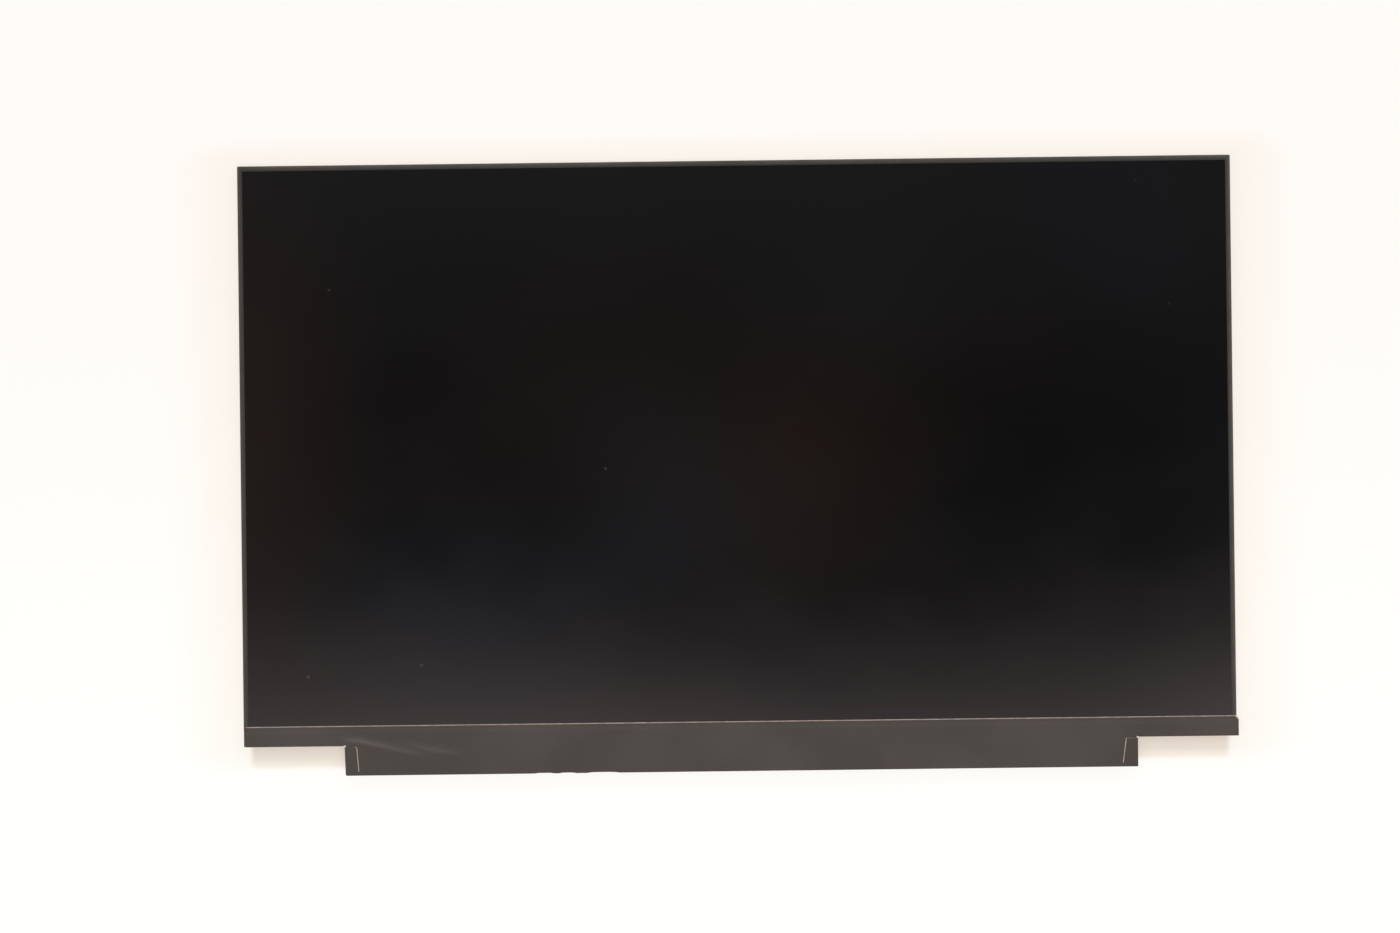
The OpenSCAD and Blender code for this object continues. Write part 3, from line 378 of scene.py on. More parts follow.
screenFace = {
    "warm": (0.0034, 0.0028, 0.0025),
    "cool": (0.0024, 0.0027, 0.0033),
    "patch": 120.0,  # mm
    "roughLow": 0.095,
    "roughHigh": 0.112,
    "smearSize": 45.0,  # mm
    "smearSquash": 1.6,  # times shorter towards the panel's upper edge
    "grainSize": 0.12,  # mm
    "grainDepth": 0.00006,  # mm
    "dust": (0.05, 0.047, 0.046),
    "specks": [  # place and radius in mm, strength
        (-46.5, -5.6, 0.75, 1.0), (-112.2, -74.2, 0.8, 1.0), (-152.3, -78.0, 0.95, 1.0),
        (-143.4, 58.5, 0.7, 0.7), (141.9, 94.2, 0.6, 0.4), (153.1, 50.2, 0.6, 0.4),
    ],
}


def makeScreenFace():
    look = screenFace
    material, tree, shader = startMaterial("anti_glare", {"IOR": 1.5})
    patch = spread(tree, speckle(tree, look["patch"], detail=1.0), half=0.15)
    color = mixColor(tree, patch, rgb(look["warm"]), rgb(look["cool"]))
    point = objectPoint(tree, (1, 1, 0))
    for across, along, radius, strength in look["specks"]:
        inputs = {0: point, 1: (across * mm, along * mm, 0)}
        away = addNode(tree, "ShaderNodeVectorMath", inputs, operation="DISTANCE").outputs["Value"]
        speck = ramp(tree, away, 0.0, radius * mm, strength, 0)
        color = mixColor(tree, speck, color, rgb(look["dust"]))
    smear = speckle(tree, look["smearSize"], (1, look["smearSquash"], 1))
    rough = spread(tree, smear, look["roughLow"], look["roughHigh"])
    grain = bump(tree, speckle(tree, look["grainSize"], detail=1.0), look["grainDepth"])
    return endMaterial(material, shader, color, rough, grain)


# Black tape: matt film with a fine grain and slow waves, and painted highlights along its creases
# and along the body's outline

blackTape = {
    "dark": (0.0455, 0.0395, 0.0345),
    "light": (0.06, 0.0525, 0.046),
    "patch": 30.0,  # mm
    "roughLow": 0.44,
    "roughHigh": 0.56,
    "fineSize": 0.88,
    "grainSize": 0.22,
    "grainDepth": 0.004,
    "waveSize": 9.0,
    "waveDepth": 0.03,
    "inner": (0.018, 0.0165, 0.0145),  # edge tapes, at their inner edge, where the painted highlight ends
    "outer": (0.116, 0.108, 0.097),  # painted highlight where they turn over the body's outline
    "creaseHighlight": (0.1, 0.091, 0.084),  # painted highlight on the cover tape along a crease
    "highlightLow": -0.6,  # mm from the outline
    "highlightHigh": 2.0,
    "highlightPatch": 7.0,
    "highlightNoise": (0.2, 0.7, 0.6, 1.0),  # noise values, and the painted highlight's strength at them
    "highlightLeft": 0.62,  # the painted highlight's strength along the left edge
    "leftSide": (-172.0, -168.0),  # mm; it rises to full strength between them
}


def makeBlackTape(name, paintedEdge=False):
    look = blackTape
    material, tree, shader = startMaterial(name, {"IOR": 1.5})
    if paintedEdge:
        # painted highlight along the body's outline, in patches and weaker on the left side
        parts = split(tree, objectPoint(tree))
        side = calc(tree, "ABSOLUTE", parts[0])
        side = calc(tree, "SUBTRACT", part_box("right_edge_tape")[1].x, side)
        top = calc(tree, "SUBTRACT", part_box("top_edge_tape")[1].y, parts[1])
        inset = calc(tree, "MINIMUM", side, top)
        edgeHighlight = ramp(tree, inset, look["highlightLow"] * mm, look["highlightHigh"] * mm, 1, 0)
        patch = ramp(tree, speckle(tree, look["highlightPatch"]), *look["highlightNoise"])
        start, end = look["leftSide"]
        left = ramp(tree, parts[0], start * mm, end * mm, look["highlightLeft"], 1.0)
        edgeHighlight = times(tree, times(tree, edgeHighlight, patch), left)
        color = mixColor(tree, edgeHighlight, rgb(look["inner"]), rgb(look["outer"]))
    else:
        patch = spread(tree, speckle(tree, look["patch"]))
        color = mixColor(tree, patch, rgb(look["dark"]), rgb(look["light"]))
        # painted highlight along the cover tape's creases
        pull = addNode(tree, "ShaderNodeAttribute", attribute_name="pull").outputs["Fac"]
        color = mixColor(tree, pull, color, rgb(look["creaseHighlight"]))
    rough = spread(tree, speckle(tree, look["fineSize"]), look["roughLow"], look["roughHigh"])
    wave = bump(tree, speckle(tree, look["waveSize"], detail=1.0), look["waveDepth"])
    grain = bump(tree, speckle(tree, look["grainSize"], detail=2.0), look["grainDepth"], wave)
    return endMaterial(material, shader, color, rough, grain)


# Rolled steel of the rear plate: streaks along the sheet and a few dull patches

rolledSteel = {
    "dark": (0.6, 0.605, 0.61),
    "light": (0.645, 0.65, 0.655),
    "streakSize": 0.35,  # mm across the streaks
    "streakLength": 90,  # times as long as wide
    "streakDetail": 4.0,
    "streakShare": 0.7,  # against the patches
    "patch": 70.0,
    "roughLow": 0.32,
    "roughHigh": 0.42,
    "streakDepth": 0.0004,
}


def makeRolledSteel():
    look = rolledSteel
    material, tree, shader = startMaterial("rolled_steel", {"Metallic": 1.0})
    stretch = (1 / look["streakLength"], 1, 1)
    streak = speckle(tree, look["streakSize"], stretch, look["streakDetail"])
    patch = times(tree, speckle(tree, look["patch"]), 1 - look["streakShare"])
    both = calc(tree, "ADD", times(tree, streak, look["streakShare"]), patch)
    color = mixColor(tree, spread(tree, both, half=0.15), rgb(look["dark"]), rgb(look["light"]))
    rough = spread(tree, both, look["roughHigh"], look["roughLow"])
    return endMaterial(material, shader, color, rough, bump(tree, streak, look["streakDepth"]))


# Plainer finishes: two shades of one colour, the size of their patches, the range of roughness, the
# size and the height of the grain, and what else the finish needs. Sizes are in mm.

plainFinishes = {
    "cell_glass": ((0.012, 0.016, 0.02), (0.03, 0.036, 0.04), 3.0, (0.06, 0.16), 0.05, 0.0004),
    "rear_film": ((0.022, 0.023, 0.027), (0.034, 0.035, 0.04), 30.0, (0.18, 0.26), 0.3, 0.0002),
    "black_adhesive": ((0.008, 0.008, 0.009), (0.016, 0.016, 0.017), 4.0, (0.55, 0.7), 0.4, 0.01),
    "frame_plastic": ((0.01, 0.01, 0.011), (0.018, 0.018, 0.019), 2.0, (0.42, 0.55), 0.12, 0.003),
    "diffuser_film": ((0.8, 0.82, 0.84), (0.88, 0.89, 0.9), 20.0, (0.5, 0.6), 0.08, 0.002),
    "white_film": ((0.86, 0.86, 0.85), (0.92, 0.92, 0.91), 12.0, (0.55, 0.65), 0.2, 0.003),
    "grey_adhesive": ((0.28, 0.3, 0.32), (0.38, 0.4, 0.41), 3.0, (0.6, 0.75), 0.3, 0.01),
    "pale_adhesive": ((0.5, 0.4, 0.36), (0.72, 0.59, 0.54), 2.5, (0.35, 0.5), 0.3, 0.006),
    "bare_chip": ((0.014, 0.017, 0.024), (0.026, 0.03, 0.04), 1.0, (0.16, 0.24), 0.1, 0.0004),
    "chip_resin": ((0.012, 0.012, 0.013), (0.024, 0.024, 0.026), 0.6, (0.5, 0.62), 0.05, 0.004),
    "ferrite": ((0.05, 0.052, 0.057), (0.085, 0.088, 0.094), 0.5, (0.5, 0.65), 0.06, 0.006),
    "fuse_ceramic": ((0.66, 0.68, 0.64), (0.78, 0.8, 0.76), 0.5, (0.3, 0.42), 0.05, 0.002),
    "capacitor_ceramic": ((0.34, 0.23, 0.13), (0.46, 0.33, 0.2), 2.0, (0.32, 0.45), 0.05, 0.002),
    "resistor_ceramic": ((0.008, 0.008, 0.01), (0.018, 0.018, 0.02), 1.5,
        (0.2, 0.32), 0.05, 0.001),
    "connector_plastic": ((0.7, 0.65, 0.54), (0.82, 0.78, 0.68), 1.5, (0.42, 0.55), 0.08, 0.002),
    "gold_plate": ((0.78, 0.52, 0.16), (0.9, 0.66, 0.27), 0.3,
        (0.22, 0.34), 0.05, 0.0006, {"Metallic": 1.0}),
    "tinned_shell": ((0.61, 0.615, 0.62), (0.69, 0.695, 0.7), 5.0,
        (0.17, 0.26), 0.1, 0.001, {"Metallic": 1.0}),
    "solder": ((0.6, 0.61, 0.62), (0.76, 0.77, 0.78), 0.3,
        (0.14, 0.3), 0.12, 0.002, {"Metallic": 1.0}),
    "tinned_end": ((0.58, 0.585, 0.58), (0.7, 0.7, 0.69), 0.4,
        (0.28, 0.42), 0.05, 0.001, {"Metallic": 1.0}),
    "covered_copper": ((0.02, 0.15, 0.06), (0.03, 0.19, 0.08), 2.0, (0.22, 0.32), 0.2, 0.001),
    "white_print": ((0.66, 0.66, 0.63), (0.8, 0.8, 0.77), 0.8, (0.5, 0.62), 0.1, 0.001),
    "diode_resin": ((0.8, 0.76, 0.52), (0.9, 0.88, 0.76), 1.2, (0.25, 0.35), 0.1, 0.001),
    "translucent_film": ((0.6, 0.66, 0.66), (0.74, 0.79, 0.78), 16.0,
        (0.1, 0.18), 2.5, 0.006, {"Alpha": 0.13}),
    "prism_film": ((0.72, 0.77, 0.8), (0.82, 0.86, 0.88), 25.0,
        (0.12, 0.2), 0.4, 0.001, {"Alpha": 0.6}),
    "clear_plastic": ((0.7, 0.8, 0.83), (0.8, 0.88, 0.9), 40.0,
        (0.06, 0.1), 1.0, 0.0005, {"Alpha": 0.5}),
}


def makePlainFinish(name, dark, light, patchSize, rough, grainSize, depth, sockets=None):
    material, tree, shader = startMaterial(name, sockets or {})
    patch = spread(tree, speckle(tree, patchSize))
    grain = speckle(tree, grainSize)
    return endMaterial(material, shader, mixColor(tree, patch, rgb(dark), rgb(light)),
        spread(tree, grain, *rough), bump(tree, grain, depth))

flexFilm = {
    "film": (0.42, 0.17, 0.03),
    "track": (0.62, 0.3, 0.07),
    "trackPitch": 0.35,  # mm
    "waveScale": 0.314,  # scale at which the wave texture's bands are 1 m apart
    "trackRise": (0.45, 0.6),  # wave values between which a track rises from the film
    "trackDepth": 0.01,  # mm
    "grainSize": 0.8,
    "rough": (0.25, 0.38),
}


def makeFlexFilm():
    look = flexFilm
    material, tree, shader = startMaterial("flex_film", {"IOR": 1.6})
    inputs = {"Vector": objectPoint(tree), "Scale": look["waveScale"] / (look["trackPitch"] * mm),
        "Distortion": 0.0}
    lines = addNode(tree, "ShaderNodeTexWave", inputs, bands_direction="X").outputs["Fac"]
    track = ramp(tree, lines, *look["trackRise"])
    color = mixColor(tree, track, rgb(look["film"]), rgb(look["track"]))
    rough = spread(tree, speckle(tree, look["grainSize"]), *look["rough"])
    return endMaterial(material, shader, color, rough, bump(tree, track, look["trackDepth"]))


laminate = {
    "resist": (0.008, 0.06, 0.026),
    "overCopper": (0.014, 0.105, 0.042),
    "pourSize": 9.0,  # mm
    "pourRise": (0.47, 0.49),  # noise values between which the copper under the resist rises
    "pourDepth": 0.03,
    "grainSize": 1.5,
    "rough": (0.2, 0.3),
    "weaveSize": 0.7,
    "weaveDepth": 0.004,
}


def makeLaminate():
    look = laminate
    material, tree, shader = startMaterial("board_laminate", {"IOR": 1.55})
    pour = ramp(tree, speckle(tree, look["pourSize"], detail=0.0), *look["pourRise"])
    color = mixColor(tree, pour, rgb(look["resist"]), rgb(look["overCopper"]))
    rough = spread(tree, speckle(tree, look["grainSize"]), *look["rough"])
    step = bump(tree, pour, look["pourDepth"])
    weave = bump(tree, speckle(tree, look["weaveSize"]), look["weaveDepth"], step)
    return endMaterial(material, shader, color, rough, weave)


def makeFinishes():
    made = {
        "anti_glare_film": makeScreenFace(),
        "black_tape": makeBlackTape("black_tape"),
        "folded_tape": makeBlackTape("folded_tape", True),
        "plate_steel": makeRolledSteel(),
        "flex_film": makeFlexFilm(),
        "board_laminate": makeLaminate(),
    }
    for name, look in plainFinishes.items():
        made[name] = makePlainFinish(name, *look)
    return made


finishes = makeFinishes()
for nodeName, piece in nodes.items():
    piece.data.materials.clear()
    piece.data.materials.append(finishes[slotOf[nodeName]])
print("finishes made:", len(finishes))
# Helpers for Geometry Nodes and meshes

def startTree(name, inputs):  # inputs: a number's usual value, or the kind of anything else
    tree = bpy.data.node_groups.new(name, "GeometryNodeTree")
    for label, value in {"Geometry": "Geometry", **inputs}.items():
        kind = {int: "Int", float: "Float"}.get(type(value), value)
        socket = tree.interface.new_socket(label, in_out="INPUT", socket_type="NodeSocket" + kind)
        if kind != value:
            socket.default_value = value
    tree.interface.new_socket("Geometry", in_out="OUTPUT", socket_type="NodeSocketGeometry")
    return tree, addNode(tree, "NodeGroupInput").outputs


def endTree(tree, geometry, finish):
    real = outOf(tree, "GeometryNodeRealizeInstances", {"Geometry": geometry})
    inputs = {"Geometry": real, "Material": finish}
    painted = outOf(tree, "GeometryNodeSetMaterial", inputs)
    addNode(tree, "NodeGroupOutput", {"Geometry": painted})


def runTree(piece, tree, finish, values):  # bakes the tree's result into the piece's own mesh
    values = {**values, "Finish": finishes[finish]}
    modifier = piece.modifiers.new(tree.name, "NODES")
    modifier.node_group = tree
    for item in tree.interface.items_tree:
        if item.in_out == "INPUT" and item.name in values:
            modifier[item.identifier] = values[item.name]
    piece.update_tag()
    solved = piece.evaluated_get(bpy.context.evaluated_depsgraph_get())
    mesh = bpy.data.meshes.new_from_object(solved)
    mesh.name = piece.name
    mesh.materials.clear()
    mesh.materials.append(finishes[finish])
    mesh.polygons.foreach_set("material_index", [0] * len(mesh.polygons))
    piece.modifiers.remove(modifier)
    piece.data = mesh


def meshOf(tree, piece):
    return addNode(tree, "GeometryNodeObjectInfo", {"Object": piece}).outputs["Geometry"]


def storedValue(tree, name, kind="FLOAT"):
    inputs = {"Name": name}
    return outOf(tree, "GeometryNodeInputNamedAttribute", inputs, data_type=kind)


def weldedCopy(nodeName):  # a CAD node is loose triangles, so its copy is welded first
    made = bmesh.new()
    made.from_mesh(nodes[nodeName].data)
    bmesh.ops.remove_doubles(made, verts=made.verts, dist=weld)
    return made


def mergedCopy(nodeName, angle=0.002):  # with one face where triangles lie in one plane
    made = weldedCopy(nodeName)
    bmesh.ops.dissolve_limit(made, angle_limit=angle, verts=made.verts, edges=made.edges)
    return made


def steps(start, end, size):
    count = max(1, round((end - start) / size))
    return [start + (end - start) * number / count for number in range(count + 1)]


def cutNet(made, axis, places):  # cuts across an axis at these places in mm
    across = Vector((axis == 0, axis == 1, 0))
    for place in places:
        every = made.verts[:] + made.edges[:] + made.faces[:]
        bmesh.ops.bisect_plane(made, geom=every, dist=weld / 10, plane_co=across * place * mm,
            plane_no=across)


def markUpper(made):  # 1 at the points of the faces that look up
    upper = made.verts.layers.float.new("upper")
    for face in made.faces:
        if face.normal.z > 0.5:
            for point in face.verts:
                point[upper] = 1.0


def toObject(made, name):
    mesh = bpy.data.meshes.new(name)
    bmesh.ops.triangulate(made, faces=made.faces)
    made.to_mesh(mesh)
    made.free()
    return newObject(name, mesh)


def smoothBelow(piece, degrees=35):
    piece.data.shade_smooth()
    piece.data.set_sharp_from_angle(angle=math.radians(degrees))


def handOver(piece, slot, *replaced):
    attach(piece, "root")
    if replaced:
        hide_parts(*replaced)


def guideLine(name, points, closed=False):  # loose edges through points given in mm
    count = len(points)
    edges = [(number, (number + 1) % count) for number in range(count if closed else count - 1)]
    mesh = bpy.data.meshes.new(name)
    mesh.from_pydata([[size * mm for size in point] for point in points], edges, [])
    return newObject(name, mesh)


# Relief of the tapes. A guide line lies in plan under each crease or along the body's outline,
# and its own height is how far the tape is lifted over it.

def guideReach(tree, guide):  # point, distance in plan to the guide, its lift, and the side
    here = outOf(tree, "GeometryNodeInputPosition")
    flat = outOf(tree, "ShaderNodeVectorMath", {0: here, 1: (1, 1, 0)}, operation="MULTIPLY")
    inputs = {"Geometry": meshOf(tree, guide), "Sample Position": flat}
    near = addNode(tree, "GeometryNodeProximity", inputs, target_element="EDGES")
    near = near.outputs["Position"]
    way = outOf(tree, "ShaderNodeVectorMath", {0: here, 1: near}, operation="SUBTRACT")
    parts = split(tree, way)
    squares = [times(tree, parts[axis], parts[axis]) for axis in (0, 1)]
    reach = calc(tree, "SQRT", calc(tree, "ADD", *squares))
    return here, reach, split(tree, near)[2], parts[1]


def liftUpper(tree, inputs, geometry, here, height):
    scale = calc(tree, "DIVIDE", 1.0, inputs["Wave Length"])
    wave = addNode(tree, "ShaderNodeTexNoise", {"Vector": here, "Scale": scale, "Detail": 1.0})
    wave = times(tree, wave.outputs["Fac"], inputs["Wave Height"])
    rise = times(tree, calc(tree, "ADD", height, wave), storedValue(tree, "upper"))
    offset = outOf(tree, "ShaderNodeCombineXYZ", {2: rise})
    moved = outOf(tree, "GeometryNodeSetPosition", {"Geometry": geometry, "Offset": offset})
    endTree(tree, moved, inputs["Finish"])


def makeCreaseTree():  # a ridge that falls to both sides, and a painted highlight along it
    tree, inputs = startTree("tape_crease", {"Guide": "Object", "Upper Width": 0.001,
        "Lower Width": 0.003, "Full Pull": 0.001, "Wave Height": 0.0, "Wave Length": 0.01,
        "Finish": "Material"})
    here, reach, lift, side = guideReach(tree, inputs["Guide"])
    upper = calc(tree, "GREATER_THAN", side, 0.0)
    widths = {0: upper, 2: inputs["Lower Width"], 3: inputs["Upper Width"]}
    width = outOf(tree, "ShaderNodeMix", widths)
    reach = calc(tree, "MINIMUM", calc(tree, "DIVIDE", reach, width), 1.0)
    near = calc(tree, "SUBTRACT", 1.0, reach)
    pull = times(tree, calc(tree, "DIVIDE", lift, inputs["Full Pull"]), times(tree, near, near))
    pull = calc(tree, "MAXIMUM", storedValue(tree, "pull"), pull)
    values = {"Geometry": inputs["Geometry"], "Name": "pull", "Value": pull}
    stored = outOf(tree, "GeometryNodeStoreNamedAttribute", values)
    liftUpper(tree, inputs, stored, here, times(tree, lift, ramp(tree, reach, 0.0, 1.0, 1, 0)))
    return tree


def makeCrownTree():  # a rise from the body's outline inwards
    tree, inputs = startTree("tape_crown", {"Guide": "Object", "Rise Width": 0.001,
        "Wave Height": 0.0, "Wave Length": 0.01, "Finish": "Material"})
    here, reach, lift = guideReach(tree, inputs["Guide"])[:3]
    away = times(tree, calc(tree, "DIVIDE", reach, inputs["Rise Width"]), -1.0)
    rise = calc(tree, "SUBTRACT", 1.0, calc(tree, "EXPONENT", away))
    liftUpper(tree, inputs, inputs["Geometry"], here, times(tree, lift, rise))
    return tree


# Cover tape along the lower edge: waves, two creases at its left end with a painted highlight on
# them, and nicks in its lower edge

coverTape = {
    "columns": (-174.0, 175.5, 2.5),  # start, end and step of its net along the panel, mm
    "rowStep": 0.5,
    "fineStep": 0.5,  # the same round the creases and the nicks
    "fineRows": (-107.5, -99.7, 0.26),  # start, end and step of the rows under the creases
    "fineParts": [(-140.0, -96.0), (-73.0, -42.0)],
    "waveHeight": 0.03,
    "waveLength": 16.0,
    "upperWidth": 3.4,  # mm from a crease's ridge to its foot, towards the screen
    "highlightHeight": 0.19,  # height of a crease at which its painted highlight is full
    "lowerWidth": 1.4,
    "creases": [  # places along and across the panel, and height, mm
        [(-139.4, -100.45, 0.1), (-137.2, -100.65, 0.17), (-134.9, -100.85, 0.185),
            (-132.5, -101.25, 0.19), (-127.3, -102.5, 0.145), (-122.0, -103.7, 0.12),
            (-116.7, -104.9, 0.1), (-112.5, -105.7, 0.04), (-110.0, -106.1, 0.0)],
        [(-120.5, -101.7, 0.0), (-116.7, -102.3, 0.07), (-113.5, -103.15, 0.09),
            (-106.3, -104.65, 0.11), (-101.8, -105.1, 0.07), (-97.5, -105.6, 0.0)],
    ],
    "nicks": [(-69.3, 3.3, 0.22), (-61.0, 2.8, 0.25), (-48.5, 5.6, 0.3)],  # middle, half, depth
    "nickPower": 4,  # a higher power gives squarer nicks
    "edgeBand": 0.02,  # mm; points this close to the lower edge are moved
}


def nickEdge(made, low):
    for point in made.verts:
        if point.co.y < low + coverTape["edgeBand"] * mm:
            for middle, half, depth in coverTape["nicks"]:
                off = (point.co.x / mm - middle) / half
                point.co.y += max(0.0, 1 - off ** coverTape["nickPower"]) * depth * mm


def makeCoverTape(creaseTree):
    look = coverTape
    columns = set(steps(*look["columns"]))
    for start, end in look["fineParts"]:
        columns |= set(steps(start, end, look["fineStep"]))
    low, high = boxOf("cover_tape_film")
    film = mergedCopy("cover_tape_film")
    cutNet(film, 0, sorted(columns))
    cutNet(film, 1, steps(low[1], high[1], look["rowStep"])[1:-1] + steps(*look["fineRows"]))
    markUpper(film)
    nickEdge(film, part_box("cover_tape_film")[0].y)
    piece = toObject(film, "cover_tape_creased")
    for number, line in enumerate(look["creases"]):
        guide = guideLine("crease_guide", line)
        runTree(piece, creaseTree, "black_tape", {"Guide": guide,
            "Upper Width": look["upperWidth"] * mm, "Lower Width": look["lowerWidth"] * mm,
            "Wave Length": look["waveLength"] * mm, "Full Pull": look["highlightHeight"] * mm,
            "Wave Height": look["waveHeight"] * mm * (number == 0)})
        bpy.data.objects.remove(guide)
    smoothBelow(piece)
    handOver(piece, "black_tape", "cover_tape_film")
    adhesive = mergedCopy("cover_tape_adhesive")
    cutNet(adhesive, 0, steps(*look["fineParts"][1], look["fineStep"]))
    nickEdge(adhesive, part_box("cover_tape_adhesive")[0].y)
    under = toObject(adhesive, "cover_tape_glue")
    under.data.materials.append(finishes["pale_adhesive"])
    handOver(under, "pale_adhesive", "cover_tape_adhesive")


# Edge tapes round the other three sides: crowned a little, lower along the body's outline

edgeTape = {
    "step": 3.0,  # mm between the cuts of the net along the tape
    "cuts": [0.1, 0.2, 0.32, 0.46, 0.65, 0.9, 1.2, 1.55],  # mm from the body's outline
    "crown": 0.062,  # mm
    "riseWidth": 0.4,
    "waveHeight": 0.012,
    "waveLength": 9.0,
    "guideBelow": 5,  # mm that the guide runs on past the tapes' lower ends
}


def makeEdgeTapes(crownTree):
    look = edgeTape
    left, bottom = boxOf("left_edge_tape")[0][:2]
    right, top = boxOf("right_edge_tape")[1][0], boxOf("top_edge_tape")[1][1]
    bottom -= look["guideBelow"]
    outline = ((left, bottom), (left, top), (right, top), (right, bottom))
    guide = guideLine("outline_guide", [(x, y, look["crown"]) for x, y in outline])
    for side, axis, outer, inward in (("left", 0, left, 1), ("right", 0, right, -1),
            ("top", 1, top, -1)):
        nodeName = side + "_edge_tape"
        low, high = boxOf(nodeName)
        film = mergedCopy(nodeName)
        cutNet(film, 1 - axis, steps(low[1 - axis], high[1 - axis], look["step"])[1:-1])
        cutNet(film, axis, [outer + inward * cut for cut in look["cuts"]])
        markUpper(film)
        piece = toObject(film, nodeName + "_crowned")
        # the finish paints a highlight along the body's outline
        runTree(piece, crownTree, "folded_tape", {"Guide": guide,
            "Rise Width": look["riseWidth"] * mm, "Wave Height": look["waveHeight"] * mm,
            "Wave Length": look["waveLength"] * mm})
        smoothBelow(piece)
        handOver(piece, "black_tape", nodeName)
    bpy.data.objects.remove(guide)


makeCoverTape(makeCreaseTree())
makeEdgeTapes(makeCrownTree())
print("tapes made")


# Board's rear face: tinned ends and solder at the small parts, pads, vias, tracks and print

board = {
    "face": 1.74,  # mm above the table
    "endShare": 0.22,  # length of a chip part's tinned end, as a part of the chip part
    "endOut": 0.008,  # mm that it stands out past the chip part
    "endThick": 0.012,  # mm that the tin adds to its length and height
    "endWider": 0.02,  # and to its width
    "solderOut": 0.34,  # mm that the solder reaches beyond an end
    "solderWider": 1.06,  # its width, as a part of the chip part's
    "solderRise": 0.62,  # its height there, in the same terms
    "solderCurve": [(0, 0), (0, -1), (0.12, -0.62), (0.3, -0.32), (0.6, -0.12), (1, -0.03), (1, 0)],
    "solderSides": [(-0.5, 0.45), (-0.36, 1.0), (0.36, 1.0), (0.5, 0.45)],  # place, height
    "solderSharp": 50,  # degrees
    "leads": [  # chip, leads on a side, sides that have them
        ("timing_controller", 14, 4), ("power_chip", 10, 4), ("backlight_driver", 7, 4),
        ("level_shifter", 7, 4), ("settings_memory", 4, 2),
    ],
    "leadOut": 0.05,  # mm that the leads of a four-sided chip stand out past its body
    "leadSpare": 1.2,  # a chip's side less the span of its leads
    "leadStart": 0.003,  # mm outside the chip
    "leadEnd": (0.056, 0.246, 0.204),  # outward, wide and high
    "leadSolder": (0.2, 0.25, 0.16),
    "twoEnded": [("boost_diode", 1.1, 0.3), ("boost_coil", 1.8, 0.3), ("logic_coil", 1.2, 0.25)],
    "twoEndedOut": 0.3,  # length of their ends
    "twoEndedSolder": (1.04, 0.7),  # its width and height, as parts of the end's
    "feet": (-112.35, 0.5, 30, -107.905),  # connector: first foot, pitch, number, ends of the feet
    "footSolder": (0.3, 0.27, 0.11),
    "footUnder": 0.06,  # mm that the solder starts under a foot
    "padRows": [(95.0, 9, 2.0, -110.9), (39.0, 6, 1.9, -111.4), (-4.5, 9, 1.9, -111.6),
        (-93.0, 3, 1.9, -111.2)],  # first pad, number, pitch, place across the board
    "pad": (0.45, 0.03, 24),  # radius and height in mm, corners
    "padSunk": 0.008,  # mm
    "via": (0.17, 0.022, 10),  # in the same terms
    "viaSunk": 0.004,
    "viaInset": (1, 0.7),  # mm from the board's ends and sides
    "viaSpacing": 1.9,  # mm
    "viaTries": 4.0,  # points tried for each square of that side
    "viaClear": 0.45,  # mm to the parts, pads and screw holes
    "viaSeed": 7,
    "holes": (4, 1.6, -109.5, -106.2),  # screw holes: mm from the ends, half width, both sides
    "padClear": 0.5,  # half width of a row of pads
    "lineSunk": 0.002,  # mm, of tracks and print
    "track": (0.13, 0.014, 0.5),  # width, height and radius of the bends
    "print": (0.15, 0.012, 0.2),
    "printInset": 0.25,  # mm that it ends above the board's lower edge
    "tracks": [  # number, step from one to the next, bends of the first
        (8, (0.4, -0.26), [(-103.0, -107.6), (-103.0, -104.4), (-102.2, -103.6), (-33.0, -103.6),
            (-30.3, -106.3), (-24.4, -106.3)]),
        (7, (0.0, -0.27), [(-16.4, -106.2), (-12.6, -106.2), (-10.2, -103.8), (14.0, -103.8),
            (16.6, -106.4), (20.2, -106.4)]),
        (6, (0.0, -0.27), [(23.6, -107.0), (45.0, -107.0), (47.8, -104.2), (92.0, -104.2)]),
        (6, (0.25, 0.27), [(-25.5, -110.6), (-31.0, -110.6), (-32.6, -112.2), (-54.0, -112.2)]),
        (5, (0.0, 0.3), [(62.4, -111.9), (90.0, -111.9), (91.6, -110.3), (93.2, -110.3)]),
        (4, (0.3, 0.3), [(-128.0, -109.0), (-121.0, -109.0), (-118.4, -106.4), (-116.0, -106.4)]),
    ],
    "printed": [  # outlined parts, and how far outside them the line runs
        ("timing_controller", 0.8), ("power_chip", 0.75), ("backlight_driver", 0.75),
        ("level_shifter", 0.75), ("settings_memory", 0.7), ("boost_coil", 0.4),
        ("logic_coil", 0.4), ("boost_diode", 0.5), ("input_fuse", 0.55), ("connector_shell", 0.5),
    ],
    "tail": (94.8, -109.1, 107.2, -102.9),  # where the light bar's film lies on the board
}


def looseBoxes(nodeName):  # low and high corner, in mm, of each loose part of a node
    made = weldedCopy(nodeName)
    left, boxes = set(made.verts), []
    while left:
        group = [left.pop()]
        for point in group:
            for edge in point.link_edges:
                other = edge.other_vert(point)
                if other in left:
                    left.remove(other)
                    group.append(other)
        boxes.append([[pick(point.co[axis] for point in group) / mm for axis in range(3)]
            for pick in (min, max)])
    made.free()
    return sorted(boxes)


def chipBoxes():
    return looseBoxes("chip_capacitors") + looseBoxes("chip_resistors")


